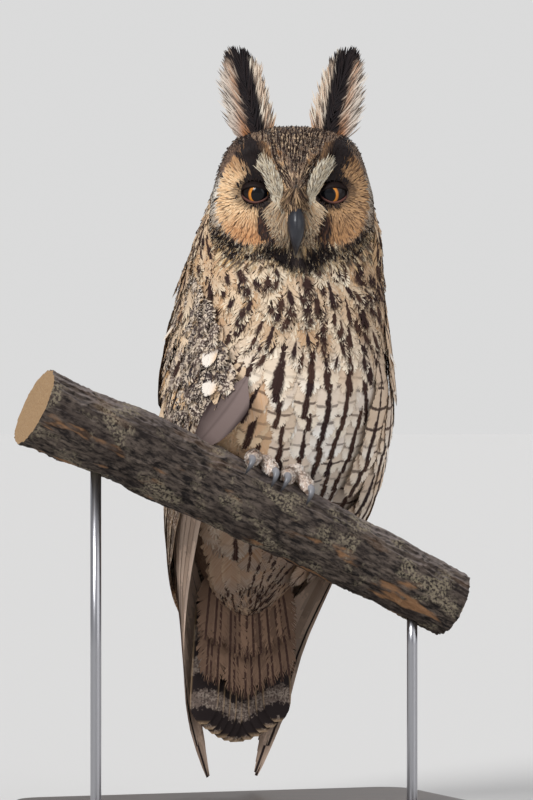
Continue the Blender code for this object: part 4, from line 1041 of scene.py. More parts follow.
def make_face(g):
    """The facial discs: rings of fine hairs that spread from the eyes, their speckled rims, black
    patches round the eyes, the pale brows that run down to the bill, and the bristles beside it."""
    random = np.random.default_rng(SEED + 5)
    parts = []
    gap = g.hair_gap
    # Discs
    x, z = [part.ravel() for part in np.meshgrid(np.arange(-0.0445, 0.0445, gap), np.arange(-0.032, 0.034, gap))]
    x = x + random.uniform(-0.5, 0.5, len(x)) * gap
    z = z + random.uniform(-0.5, 0.5, len(z)) * gap
    away = np.abs(x)
    ring = face_ring(x, z)
    from_eye = np.hypot((away - EYE_SPREAD - 0.0012) / 0.0088, z / 0.0060)
    keep = (ring < 1.03) & (from_eye > 1.0) & (away > 0.0045 + 0.25 * np.maximum(z + 0.004, 0))
    x, z, away, ring, from_eye = x[keep], z[keep], away[keep], ring[keep], from_eye[keep]
    sign = np.sign(x)
    out_x, out_z = (away - EYE_SPREAD), z + 0.0005
    far = np.hypot(out_x, out_z)
    turn = random.normal(0, 0.14, len(x))
    ways = (sign * (out_x / far + turn * out_z / far), out_z / far - turn * out_x / far)
    length = 0.0034 + 0.0036 * fade(far, 0.008, 0.020) + random.normal(0, 0.0004, len(x))
    dark = darkness(x, z)
    tone = blend(face_tone(x, z, random), linear(30, 22, 22), dark)
    # tips 8% lighter: painted light on the exposed hair tips
    tip = blend(face_tone(x, z, random) * 1.08, linear(28, 22, 22), dark * random.uniform(0.8, 1.0, len(x)))
    rim = fade(ring, 0.86, 0.98) * (1 - fade(z, 0.004, 0.016)) * (1 - fade(-z, 0.014, 0.022))
    speckle = random.random(len(x))
    rim_colour = blend(linear(226, 214, 196), linear(44, 34, 34), (speckle < 0.45) * 1.0)
    tip = blend(tip, rim_colour, rim)
    parts.append(
        face_hairs(random, x, z, (*ways, 0.25 * fade(ring, 0.7, 1.0)), length, 0.00030, (-0.0006, 0.0005), tone, tip)
    )
    # Rims
    count = 4200
    turn = random.uniform(-1.95, 1.20, count)
    sign = random.choice([-1.0, 1.0], count)
    band = 0.93 + random.random(count) * np.where(sign < 0, 0.36, 0.27)
    rim_x = np.clip(0.0215 + 0.0205 * band * np.cos(turn), 0.002, 0.0425)
    rim_z = -0.0025 + 0.0270 * band * np.sin(turn)
    keep = (rim_z > -0.033) & ((rim_x > 0.016) | (rim_z < -0.020))
    rim_x, rim_z, turn, band, sign = rim_x[keep], rim_z[keep], turn[keep], band[keep], sign[keep]
    speckle = random.random(len(turn))
    pale = blend(linear(226, 218, 206), linear(206, 166, 118), random.random(len(turn)) * fade(-rim_z, 0.0, 0.02))
    pale = blend(pale, linear(112, 80, 60), fade(rim_z, 0.004, 0.014) * 0.9)
    # painted shade: the rim on the owl's left is greyer and darker
    pale = blend(pale, linear(150, 128, 106), (sign > 0) * 0.5)
    low = fade(-rim_z, 0.014, 0.021)
    black = np.where(band > 1.08, 0.55, 0.22) * (1 - low) + 0.86 * low
    tone = blend(pale, linear(40, 31, 31), (speckle < black) * 1.0)
    tip = blend(pale, linear(40, 31, 31), ((speckle * 7.3) % 1.0 < black) * 1.0)
    shade = darkness(rim_x, rim_z) * 0.95
    tone, tip = blend(tone, linear(28, 22, 22), shade), blend(tip, linear(28, 22, 22), shade)
    ways = (sign * np.cos(turn), np.sin(turn) - 0.35, np.full(len(turn), 0.55))
    parts.append(
        face_hairs(
            random, rim_x * sign, rim_z, ways, random.uniform(0.0045, 0.0062, len(turn)), 0.00075,
            (-0.0004, 0.0008), tone, tip, barb_pattern(5, 0.36, 2.5),
        )
    )
    # Chin and ruff under the discs
    count = 4200
    x = random.uniform(-0.042, 0.042, count)
    z = random.uniform(-0.0420, -0.0180, count)
    distance, along = from_line(x, z, RUFF_LINE)
    keep = (face_ring(x, z) > 0.97) & (z > -0.0385 - 0.0030 * (np.abs(x) < 0.008)) & ((np.abs(x + 0.0002) > 0.0032) | (z < -0.0358)) & ((distance < 4.0) | (random.random(count) < 0.16))
    x, z, distance = x[keep], z[keep], distance[keep]
    ruff = np.exp(-((distance / np.where(np.abs(x) < 0.020, 4.4, 1.7)) ** 4)) * (random.random(len(x)) < 0.93)
    pale = blend(linear(206, 166, 112), linear(236, 222, 194), random.random(len(x)))
    pale = blend(pale, linear(66, 48, 40), (random.random(len(x)) < 0.42) * 0.9)
    tone = blend(pale, linear(26, 21, 22), np.clip(ruff * 1.2, 0, 1))
    ways = (x * 26, np.full(len(x), -1.0))
    parts.append(
        face_hairs(
            random, x, z, ways, random.uniform(0.006, 0.009, len(x)), 0.0010, (-0.0004, 0.0010), tone, tone,
            barb_pattern(6, 0.34, 2.5),
        )
    )
    # Brows
    count = g.brow_count
    place = random.random(count)
    line = np.array(BROW_LINE)
    at = place * (len(line) - 1)
    low = np.minimum(at.astype(int), len(line) - 2)
    spine = line[low] + (line[low + 1] - line[low]) * (at - low)[:, None]
    sign = random.choice([-1.0, 1.0], count)
    across = np.clip(random.normal(0, 0.95, count), -1.9, 1.9) * (0.78 + 0.75 * place - 0.45 * fade(place, 0.80, 1.0))
    x = sign * (spine[:, 0] + across) * MM
    z = (spine[:, 1] - 0.35 * across) * MM
    lean = np.radians(4 + 26 * place + across * 5 + random.normal(0, 7, count))
    ways = (sign * np.sin(lean), np.cos(lean))
    length = random.uniform(0.0046, 0.0084, count) + 0.0034 * (random.random(count) < 0.18) * place
    pale = blend(linear(238, 231, 212), linear(206, 184, 150), random.random(count) ** 1.5)
    dusk = (random.random(count) < 0.24) * 0.8
    tone = blend(pale, linear(84, 66, 56), dusk)
    high = random.uniform(0.0008, 0.0024, count)
    # the roots take 0.45 of the hair's tone: painted shade among the hairs
    parts.append(face_hairs(random, x, z, ways, length, 0.00023, (0.0001, high), tone * 0.45, tone))
    # Bristles
    count = g.bristle_count
    sign = random.choice([-1.0, 1.0], count)
    drop = random.random(count)
    x = sign * (3.0 + 3.8 * random.random(count) + 2.6 * (1 - drop)) * MM
    z = (-2.5 - 20.5 * drop) * MM
    lean = np.radians(np.clip(46 - 32 * drop + random.normal(0, 13, count), -8, 50 + 20 * drop))
    ways = (sign * np.sin(lean), -np.cos(lean))
    length = random.uniform(0.0085, 0.0135, count) * (1 - 0.25 * drop)
    pale = blend(linear(230, 214, 184), linear(198, 182, 160), random.random(count))
    pale = blend(pale, linear(182, 142, 100), random.random(count) * 0.9)
    root = blend(pale, linear(84, 62, 48), 0.05 + random.random(count) * (0.30 + 0.35 * drop))
    tip = blend(pale, linear(48, 38, 36), (random.random(count) < 0.14 + 0.40 * drop) * 0.9)
    parts.append(face_hairs(random, x, z, ways, length, 0.00024, (0.0004, 0.0032), root, tip))
    # Hairs over the bill's root
    count = 420
    x = random.uniform(-0.0046, 0.0046, count)
    z = random.uniform(-0.0062, 0.0020, count)
    ways = (x * 60, np.full(count, -1.0))
    pale = blend(linear(196, 164, 126), linear(92, 68, 54), random.random(count))
    tone = blend(pale, linear(44, 33, 30), (random.random(count) < 0.35) * 0.9)
    lifts = (random.uniform(0.0004, 0.0016, count), random.uniform(0.0022, 0.0048, count))
    # the roots take 0.7 of the hair's tone: painted shade among the hairs
    parts.append(face_hairs(random, x, z, ways, random.uniform(0.0045, 0.0075, count), 0.00026, lifts, tone * 0.7, tone))
    # Black patches over the discs
    count = 9000
    x = random.uniform(-0.034, 0.034, count)
    z = random.uniform(-0.030, 0.036, count)
    away = np.abs(x)
    from_eye = np.hypot((away - EYE_SPREAD - 0.0012) / 0.0088, z / 0.0060)
    beside_brow = away > 0.0078 + 0.52 * np.maximum(z + 0.004, 0)
    keep = (random.random(count) < darkness(x, z) ** 2) & (from_eye > 1.12) & beside_brow & (z > -0.024)
    x, z, away = x[keep], z[keep], away[keep]
    up = np.where(z > 0, 1.0, -1.0)
    ways = (np.sign(x) * ((away - 0.016) * np.where(z > 0, 34, 18)), up)
    tone = blend(linear(24, 19, 20), linear(104, 66, 46), random.random(len(x)) ** 2 * fade(-z, 0.004, 0.014) * 0.6)
    length = random.uniform(0.0045, 0.0075, len(x)) * (0.40 + 0.60 * fade(from_eye[keep], 1.2, 2.4))
    parts.append(face_hairs(random, x, z, ways, length, 0.00036, (0.0, 0.0010), tone, tone))
    return join(parts[:2]), join(parts[2:])


def lid_outline(turn, grow_by=0.0):
    """The almond opening of the eye: beside and up from its middle."""
    beside, up = np.cos(turn), np.sin(turn)
    wide = 0.0076 + grow_by
    high = np.where(up > 0, 0.0027, 0.0050) + grow_by
    return wide * beside * np.abs(beside) ** 0.06, high * up * (1 - 0.20 * beside**2) + 0.0004 * beside


def eye_centre(sign):
    return head_place(sign * EYE_SPREAD, EYE_DEPTH, EYE_HEIGHT)


def eye_ways(degrees, sign):
    """The way the eye's opening looks, and the way beside it towards the owl's outer side."""
    turn = math.radians(degrees)
    ahead = np.array([math.sin(turn), -math.cos(turn), 0.0])
    return ahead, np.array([math.cos(turn), math.sin(turn), 0.0]) * sign


def make_lid(sign):
    """Eyelids: rings round the almond opening that rise from the eyeball and roll back over it."""
    centre = eye_centre(sign)
    ahead, beside = eye_ways(HEAD_ROW[2] + sign * EYE_OUTWARD, sign)
    count = 96
    turn = np.linspace(0, 2 * math.pi, count, endpoint=False)
    rows = ((0.0, 9.40), (-0.0002, 9.75), (0.0001, 10.15), (0.0006, 10.50), (0.0013, 10.60), (0.0022, 10.35), (0.0032, 9.9))
    points, rim = [], []
    for grown, radius in rows:
        x, z = lid_outline(turn, grown)
        flat = np.minimum(np.hypot(x, z), radius * MM * 0.985)
        scale = flat / np.hypot(x, z)
        x, z = x * scale, z * scale
        depth = np.sqrt((radius * MM) ** 2 - x**2 - z**2)
        points.append(centre + x[:, None] * beside + z[:, None] * np.array([0, 0, 1.0]) + depth[:, None] * ahead)
        rim.append(np.full(count, grown))
    points, rim = np.concatenate(points), np.concatenate(rim)
    low = np.tile(np.sin(turn), len(rows))
    edge = 1 - fade(np.abs(rim - 0.0002), 0.0003, 0.0009)
    tone = blend(linear(13, 10, 11), linear(104, 68, 60), edge * fade(-low, 0.25, 0.8))
    faces = grid_faces(len(rows), count, True)
    faces = faces if sign > 0 else faces[:, ::-1]
    return {"points": points, "faces": faces, "tone": tone}


def make_eye(gaze, pitch):
    """An eyeball as rings round the way it looks, with the clear cornea standing out a little. Its map
    holds the angle from that way over 90 degrees, and the place round it."""
    sign = math.copysign(1.0, -gaze)
    centre = eye_centre(sign)
    level, beside = eye_ways(gaze, 1.0)
    fall = math.radians(pitch)
    ahead = level * math.cos(fall) - np.array([0, 0, 1.0]) * math.sin(fall)
    over = level * math.sin(fall) + np.array([0, 0, 1.0]) * math.cos(fall)
    rows, columns = 72, 96
    tilt = math.pi * np.linspace(0, 1, rows) ** 1.25
    turn = np.linspace(0, 2 * math.pi, columns, endpoint=False)
    swell = EYE_RADIUS + 0.0006 * (1 - fade(np.degrees(tilt), 18, 44))
    ring = np.cos(turn)[None, :, None] * beside + np.sin(turn)[None, :, None] * over
    points = centre + swell[:, None, None] * (
        np.cos(tilt)[:, None, None] * ahead + np.sin(tilt)[:, None, None] * ring
    )
    points = points.reshape(-1, 3)
    inner = points[columns:-columns]
    count = len(inner)
    ring_at = np.arange(columns)
    after = (ring_at + 1) % columns
    fans = np.concatenate(
        [
            np.column_stack([ring_at, after, np.full(columns, count)]),
            np.column_stack([after + count - columns, ring_at + count - columns, np.full(columns, count + 1)]),
        ]
    )
    u = np.concatenate([np.repeat(tilt[1:-1] / (math.pi / 2), columns), [0.0, 2.0]])
    v = np.concatenate([np.tile(turn / math.pi - 1, rows - 2), [0.0, 0.0]])
    made = {"points": np.vstack([inner, points[0], points[-1]]), "faces": grid_faces(rows - 2, columns, True)[:, ::-1]}
    made.update(fans=fans, u=u, v=v)
    return made


def closed_tube(path, radii, sides, up, flat=1.0):
    """A tube whose ends close in a point, with its map along and round it."""
    made = tube_grid(path, radii, sides, up, flat)
    rows, count = len(path), len(made["points"])
    ring = np.arange(sides)
    after = (ring + 1) % sides
    first, last = np.full(sides, count), np.full(sides, count + 1)
    made["fans"] = np.concatenate(
        [np.column_stack([ring, after, first]), np.column_stack([after + count - sides, ring + count - sides, last])]
    )
    made["points"] = np.vstack([made["points"], path[0], path[-1]])
    made["u"] = np.concatenate([np.repeat(np.linspace(0, 1, rows), sides), [0.0, 1.0]])
    made["v"] = np.concatenate([np.tile(np.linspace(-1, 1, sides, endpoint=False), rows), [0.0, 0.0]])
    return made


def make_bill_upper():
    """The hooked upper bill: a ridged tube down a bent path, with two small hollows for nostrils."""
    drop = np.linspace(0, 1, 60)
    height = 0.3445 + (0.3168 - 0.3445) * drop
    ahead = 0.0365 + 0.0090 * np.sin(np.radians(15 + 125 * drop)) - 0.004 * drop**3
    path = head_place(0.0, ahead, height)
    radii = 0.0052 * np.interp(drop, np.linspace(0, 1, 9), (0.60, 0.76, 0.90, 0.96, 0.90, 0.74, 0.52, 0.27, 0.03))
    made = closed_tube(path, radii, 48, (0.0, 1.0, 0.0), 1.18)
    points = made["points"]
    middle = np.vstack([np.repeat(path, 48, axis=0), path[:1], path[-1:]])
    out = points - middle
    ridge = np.exp(-((out[:, 0] / 0.0016) ** 2)) * (out[:, 1] < 0)
    points[:, 1] -= 0.0004 * ridge * fade(np.linalg.norm(out, axis=1), 0.001, 0.003)
    for sign in (-1, 1):
        away = np.linalg.norm(points - head_place(sign * 0.0040, 0.0452, 0.3395), axis=1)
        points[:, 1] += 0.0011 * np.exp(-((away / 0.0011) ** 2))
    return made


def make_bill_lower():
    part = np.linspace(0, 1, 24)
    path = head_place(0.0, 0.0350 + 0.004 * np.sin(math.pi * part), 0.3345 - 0.0125 * part)
    radii = np.interp(part, np.linspace(0, 1, 6), (0.0036, 0.0038, 0.0036, 0.0030, 0.0020, 0.0004))
    return closed_tube(path, radii, 28, (0.0, 1.0, 0.0), 0.8)


def make_tuft(g, sign):
    """An ear tuft: hairs that leave a bent middle line to both sides, black near the line, cream on the
    side towards the other tuft and rufous to grey on the outer side."""
    random = np.random.default_rng(SEED + 6 + sign)
    beside, behind = face_way(sign, 0.0), face_way(0.0, 0.0, 1.0)
    top = np.array([0.0, 0.0, 1.0])
    count = g.tuft_hairs
    place = random.uniform(-0.10, 0.95, count) ** 1.0
    part = np.clip(place, 0, 1)
    outer = random.random(count) < 0.55
    spine_x = 0.0192 + 0.0098 * place
    spine_z = 0.0300 + 0.0445 * place
    start = np.where(outer, 1.0, -1.0) * random.uniform(-0.0012, 0.0036, count) * (1 - 0.5 * part)
    lean_spine = math.atan2(0.0098, 0.0445)
    leaving = np.radians(np.where(outer, 34, 27) * (1 - 0.62 * part**1.6) + random.normal(0, 6.5, count))
    length = np.where(outer, 0.0205, 0.0180) * (1 - 0.50 * part**2.2) * random.uniform(0.70, 1.08, count)
    length = length * (1 + 0.15 * np.sin(np.pi * part))
    depth = random.uniform(-0.0046, 0.0048, count) * (1 - 0.55 * part) + 0.0035 * part
    side = np.where(outer, 1.0, -1.0)
    steps = 6
    u = np.linspace(0, 1, steps + 1)
    turn = lean_spine + side[:, None] * leaving[:, None] * (1.18 - 0.42 * u[None, :])
    step = length[:, None] / steps
    x = spine_x[:, None] + start[:, None] + np.cumsum(np.sin(turn) * step, axis=1) - np.sin(turn[:, :1]) * step
    z = spine_z[:, None] + np.cumsum(np.cos(turn) * step, axis=1) - np.cos(turn[:, :1]) * step
    back = depth[:, None] + 0.0022 * u[None, :] * random.normal(0.4, 0.6, count)[:, None]
    origin = head_place(0.0, 0.0090, EYE_HEIGHT)
    points = origin + x[..., None] * beside + z[..., None] * top + back[..., None] * behind
    along = unit(np.gradient(points, axis=1))
    normals = np.broadcast_to(-behind, points.shape)
    across = unit(np.cross(normals, along))
    laid = lay(hair_pattern(5), (points, across, normals), 0.00034, (0.0, 0.0), random, 0.0, 0.0001)
    local = laid["points"] - origin
    offset, rise = local @ beside, local @ top
    on_line = (rise - 0.0300) / 0.0445
    away = (offset - 0.0192 - 0.0098 * on_line) / MM
    each = np.repeat(random.random(count), laid["size"])
    black = 1 - fade(np.abs(away) + 2.0 * (each - 0.5), 4.3, 6.0)
    black = np.maximum(black, fade(on_line, 0.93, 1.04) * (each < 0.8))
    inner = blend(linear(190, 132, 84), linear(240, 230, 212), fade(on_line, 0.0, 0.34) * (0.4 + 0.6 * each))
    outer_tone = blend(linear(178, 118, 72), linear(204, 186, 168), fade(on_line, 0.04, 0.40) * (0.35 + 0.65 * each))
    outer_tone = blend(outer_tone, linear(226, 220, 210), fade(away, 7, 12) * 0.7)
    tone = np.where((away > 0)[:, None], outer_tone, inner)
    tone = blend(tone, linear(70, 56, 52), (((each * 7.7) % 1.0) < 0.20) * 0.8)
    black = np.maximum(black, 1 - fade(on_line, -0.02, 0.07))
    tone = blend(tone, linear(24, 20, 23), np.clip(black, 0, 1))
    patch = np.column_stack([np.full(count, 0.965), 0.10 + 0.25 * (sign > 0) + 0.2 * random.random(count)])
    return paint(laid, tone, tone, np.zeros((len(tone), 3)), patch, random)


# Wings and tail


def wing_place(height, share, lift, sign):
    """Points on the folded wing: a share of the way from its leading edge to the middle of the back."""
    shape = np.broadcast_shapes(np.shape(height), np.shape(share), np.shape(lift))
    height, share, lift = [np.broadcast_to(part, shape) for part in (height, share, lift)]
    beside, behind, wide, front, back = columns_at(WRAP_ROWS, height)
    x, y = turned(beside * MM, behind * MM, BODY_TURN, BODY_X, BODY_Y)
    body = columns_at(BODY_ROWS, height)
    upper = height > WRAP_SECTIONS[-1][0] * MM
    x = np.where(upper, BODY_X + body[0] * MM, x)
    y = np.where(upper, BODY_Y + body[1] * MM, y)
    turn = np.where(upper, body[2], BODY_TURN)
    wide, front, back = [np.where(upper, b, w) * MM for b, w in zip(body[3:], (wide, front, back))]
    edge = np.interp(height / MM, EDGE_ROWS[:, 0], EDGE_ROWS[:, 1])
    angle = np.radians(edge + (WING_END_ANGLE - edge) * share)
    sine, cosine = np.sin(angle), np.cos(angle)
    side = (wide + lift) * np.abs(sine) ** (2 / 2.25) * np.sign(sine) * sign
    ahead = (np.where(cosine > 0, front, back) + lift) * np.sign(cosine) * np.abs(cosine) ** (2 / 2.25)
    x, y = turned(side, ahead, turn, x, y)
    return np.stack([x, y, height], axis=-1)


def wing_reach(height):
    """How far the wing goes round the body at heights."""
    upper = height > WRAP_SECTIONS[-1][0] * MM
    wrap, body = columns_at(WRAP_ROWS, height), columns_at(BODY_ROWS, height)
    wide, back = np.where(upper, body[3], wrap[2]), np.where(upper, body[5], wrap[4])
    edge = np.interp(height / MM, EDGE_ROWS[:, 0], EDGE_ROWS[:, 1])
    return np.radians(WING_END_ANGLE - edge) * (wide + back) / 2 * MM


def tier(random, sign, count, root, tip, half_width, overlap, pattern, tips=None):
    """A row of wing feathers from the front one to the rear one. Root and tip hold the front and the
    rear feather's height, share round the wing and lift. Each rear edge dips under the next feather."""
    part = np.linspace(0, 1, count)[:, None]
    start = np.array(root[0]) * (1 - part) + np.array(root[1]) * part
    stop = np.array(tip[0]) * (1 - part) + np.array(tip[1]) * part
    if tips is not None:
        stop[:, 0] = np.interp(np.linspace(0, 1, count), np.linspace(0, 1, len(tips)), tips)
    start[:, 2] *= 0.5 if sign > 0 else 1.0
    stop[:, 2] *= 0.5 if sign > 0 else 1.0
    stop[:, 0] += random.normal(0, 0.0014 if tips is not None else 0.0032, count)
    stop[:, 2] += random.normal(0, 0.00025, count)
    rows = start[:, None] + (stop - start)[:, None] * np.linspace(0, 1, 15)[None, :, None]
    height, share, lift = rows[..., 0], rows[..., 1], rows[..., 2]
    points = wing_place(height, share, lift, sign)
    lifted = wing_place(height, share, lift + 0.002, sign) - points
    front = wing_place(height, share - 0.03, lift, sign) - points
    way = np.gradient(points, axis=1)
    over = unit(np.cross(way, front))
    over = over * np.sign(dot(over, lifted))[..., None]
    side = unit(np.cross(over, way))
    pitch = np.abs(np.gradient(share, axis=0)) * wing_reach(height)
    wide = np.minimum(half_width, np.maximum(pitch, 0.0022) * overlap)
    facing = np.sign(dot(side, front).mean(axis=1))
    jitter = 0.0 if len(pattern[0]) > 400 else 0.22
    laid = lay(pattern, (points, side, over), wide, (0.0, 0.0), random, jitter, 0.0, 0.0004, 0.0007, facing)
    return laid, start, stop


# Root, middle and tip of the plain feather: height, share round the wing and lift
PLAIN_FEATHER = ((0.2500, -0.090, 0.0030), (0.2318, 0.000, 0.0088), (0.2122, 0.086, 0.0108))
# Heights and shares round the wing of its large white spots
WHITE_SPOTS = ((0.2600, 0.042), (0.2450, 0.070), (0.2740, 0.330))


def wing_coat(random, sign):
    """Small soft feathers in staggered rows over the upper half of a wing, turned a little backwards."""
    rows = []
    for i, height in enumerate(np.arange(0.246, 0.3200, 0.0060)):
        count = int(wing_reach(np.array([height]))[0] * 0.86 / 0.0066)
        share = -0.03 + 0.86 * (np.arange(count) + 0.5 * (i % 2) + random.normal(0, 0.2, count)) / count
        rows.append(np.column_stack([height + random.normal(0, 0.0012, count), share]))
    height, share = np.concatenate(rows).T
    if sign > 0:
        height, share = height[share > 0.26], share[share > 0.26]
    count = len(height)
    squash = 0.5 if sign > 0 else 1.0

    def surface(first, second):
        base = 0.0040 * squash * (1 - 0.75 * fade(first, 0.268, 0.312))
        return wing_place(first, second * sign / 2.2, base, sign)

    turn = sign * (14 * (1 - fade(height, 0.28, 0.31)) + random.normal(0, 9, count))
    size = random.normal(1.0, 0.10, count) * (1.12 - 0.30 * fade(height, 0.25, 0.31))
    lines = grow(surface, height, sign * share * 2.2, heading(turn), 0.0195 * size, 5)
    top = (0.0042 - 0.0018 * fade(height, 0.262, 0.300) + random.normal(0, 0.0004, count)) * (0.6 if sign > 0 else 1.0)
    laid = lay(barb_pattern(15, 0.27, 4.0, 1.5), lines, 0.0050 * size, (-0.0004, top), random, 0.6, 0.0002, 0.0006)
    tone = blend(linear(56, 46, 48), linear(142, 120, 108), random.random(count))
    inner = (1 - fade(share, 0.10, 0.22)) * fade(height, 0.236, 0.250)
    tone = blend(tone, linear(50, 41, 43), inner * 0.45)
    patch = random.random(count) < 0.12 + 0.50 * fade(share, 0.12, 0.26) * (1 - fade(share, 0.50, 0.62))
    warm = patch * random.uniform(0.6, 1.0, count)
    tone = blend(tone, blend(linear(214, 172, 124), linear(238, 216, 188), random.random(count)), warm)
    spots = np.where(random.random(count) < 0.40, random.uniform(0.15, 0.6, count), 0.0)
    spots = np.where(patch & (random.random(count) < 0.75), -0.90, spots)
    shaft = np.where(patch & (random.random(count) < 0.5), 0.24, 0.08) * random.random(count)
    form = np.column_stack([shaft, random.uniform(0.0, 0.35, count) * (1 - warm), spots])
    mark = linear(40, 31, 31)
    small = paint(laid, tone, np.tile(mark, (count, 1)), form, wing_patch(np.column_stack([height, share]), sign), random)
    # Feathers whose outer web is white
    height, share = np.array(WHITE_SPOTS).T
    count = len(height)
    lines = grow(surface, height + 0.0115, sign * (share - 0.02) * 2.2, heading(np.full(count, sign * 16.0)), 0.0165, 6)
    size = np.array([0.0049, 0.0052, 0.0042])
    laid = lay(barb_pattern(26, 0.18, 6.0, 2.6), lines, size, (-0.0010, top.max() + 0.0013), random, 0.14, 0.00004, 0.0006)
    tone = blend(linear(104, 84, 72), linear(238, 228, 216), fade(laid["u"], 0.36, 0.60))
    tone = blend(tone, linear(222, 186, 144), fade(laid["v"], 0.2, 1.0) * fade(laid["u"], 0.5, 0.6) * 0.8)
    form = np.tile([0.0, 0.0, -1.0], (count, 1))
    patch = wing_patch(np.column_stack([height, share]), sign)
    return join([small, paint(laid, tone, np.tile(mark, (count, 1)), form, patch, random)])


def plain_feather(random, sign):
    """The smooth dark feather at the front edge of a wing: a blade on a curve through three places of
    the wing, each a height, a share round the wing and a lift."""
    first, middle, last = [wing_place(*place, sign) for place in PLAIN_FEATHER]
    bend = 2 * middle - (first + last) / 2
    part = np.linspace(0, 1, 13)[:, None]
    points = ((1 - part) ** 2 * first + 2 * part * (1 - part) * bend + part**2 * last)[None]
    height, share, lift = PLAIN_FEATHER[1]
    normals = np.broadcast_to(unit(wing_place(height, share, lift + 0.002, sign) - middle), points.shape)
    lines = (points, unit(np.cross(normals, unit(np.gradient(points, axis=1)))), normals)
    laid = lay(vane_pattern(26, 15, 0.14, 0.38, 0.50), lines, 0.0104, (0.0, 0.0), random, 0.0, 0.0, 0.0014)
    rim = fade(np.abs(laid["v"]), 0.70, 1.0) + fade(laid["u"], 0.88, 1.0)
    tone = blend(linear(124, 108, 104), linear(58, 46, 45), np.clip(rim + 0.7 * fade(-laid["v"], -0.2, 0.9), 0, 1))
    tone = blend(tone, linear(60, 48, 48), (np.abs(laid["v"]) < 0.04) * 0.35)
    form = np.array([[0.0, 0.0, -1.0]])
    patch = wing_patch(np.array([[height, share]]), sign)
    return paint(laid, tone, linear(44, 35, 35)[None], form, patch, random)


def wing_patch(start, sign):
    """Roots of wing feathers on the baked map, each wing in a strip of its own."""
    return np.column_stack([0.02 + 0.20 * start[:, 1] + 0.25 * (sign > 0) + 0.5, start[:, 0] * 2.6 + 0.02])


PRIMARY_TIPS = (0.0370, 0.0200, 0.0230, 0.0280, 0.0360, 0.0440, 0.0520, 0.0600, 0.0680, 0.0760, 0.0860)
SECONDARY_TIPS = (0.1400, 0.1340, 0.1270, 0.1200, 0.1130, 0.1070, 0.1020, 0.0980, 0.0950, 0.0920, 0.0900, 0.0890)


def make_wing(g, sign):
    """A folded wing, from the primaries under all to the scapulars over all."""
    random = np.random.default_rng(SEED + 20 + sign)
    long_vane, vane_shape = vane_pattern(44, 13, 0.5, 0.3, 0.80), vane_pattern(22, 11, 0.5, 0.4, 0.66)
    brown, buff, slate = linear(116, 90, 72), linear(168, 134, 106), linear(74, 62, 62)
    dark = linear(44, 35, 35)
    rows = (
        # Number, root, tip, half width, overlap, pattern, ground, spread of ground, marks, tips
        (11, ((0.222, 0.050, 0.0018), (0.218, 0.40, 0.0018)), ((0.02, 0.14, 0.0022), (0.02, 0.80, 0.0022)),
         0.0062, 1.5, long_vane, linear(224, 198, 178), linear(150, 122, 102), (0.22, 0.26, -1.0), PRIMARY_TIPS),
        (12, ((0.228, 0.13, 0.0036), (0.226, 0.80, 0.0036)), ((0.128, 0.32, 0.0058), (0.120, 0.975, 0.0058)),
         0.0082, 1.8, long_vane, brown, linear(190, 160, 136), (0.10, 0.55, 0.3), SECONDARY_TIPS),
        (4, ((0.236, 0.76, 0.0044), (0.236, 0.93, 0.0044)), ((0.136, 0.83, 0.0088), (0.158, 0.985, 0.0088)),
         0.0090, 1.8, long_vane, brown, slate, (0.10, 0.6, 0.3), None),
        (11, ((0.240, 0.10, 0.0038), (0.240, 0.84, 0.0038)), ((0.205, 0.115, 0.0080), (0.194, 0.88, 0.0088)),
         0.0084, 1.7, vane_shape, slate, brown, (0.12, 0.45, 0.55), None),
        (8, ((0.286, 0.60, 0.0044), (0.286, 0.93, 0.0036)), ((0.184, 0.76, 0.0112), (0.216, 0.985, 0.0112)),
         0.0098, 2.0, long_vane, slate, brown, (0.14, 0.62, 0.7), None),
        (8, ((0.300, 0.56, 0.0044), (0.300, 0.94, 0.0036)), ((0.232, 0.68, 0.0116), (0.244, 0.985, 0.0116)),
         0.0094, 2.0, vane_shape, slate, brown, (0.16, 0.60, 0.8), None),
        (8, ((0.312, 0.56, 0.0026), (0.312, 0.95, 0.0026)), ((0.266, 0.64, 0.0108), (0.268, 0.985, 0.0112)),
         0.0088, 2.0, vane_shape, slate, buff, (0.18, 0.60, 0.8), None),
    )
    parts = []
    for count, root, tip, half_width, overlap, pattern, first, second, form, tips in rows:
        laid, start, stop = tier(random, sign, count, root, tip, half_width, overlap, pattern, tips)
        chance = random.random(count)
        tone = blend(first, second, chance * 0.5)
        patch = fade(start[:, 1], 0.10, 0.30) * (random.random(count) < 0.26) * (form[2] > 0.2)
        tone = blend(tone, linear(190, 150, 106), patch * 0.6)
        mark = np.broadcast_to(dark, (count, 3))
        spots = form[2] * (np.ones(count) if form[2] < 0 else random.uniform(0.0, 0.65, count))
        forms = np.column_stack([np.full(count, form[0]), form[1] * (1 - patch), spots])
        parts.append(paint(laid, tone, mark, forms, wing_patch(start, sign), random))
    parts.append(wing_coat(random, sign))
    if sign < 0:
        parts.append(plain_feather(random, sign))
    return join(parts)


def tail_place(side, behind, height):
    lean = TAIL_LEAN * (0.140 - height) / 0.1
    return body_place(side, TAIL_BACK - lean - behind, height)


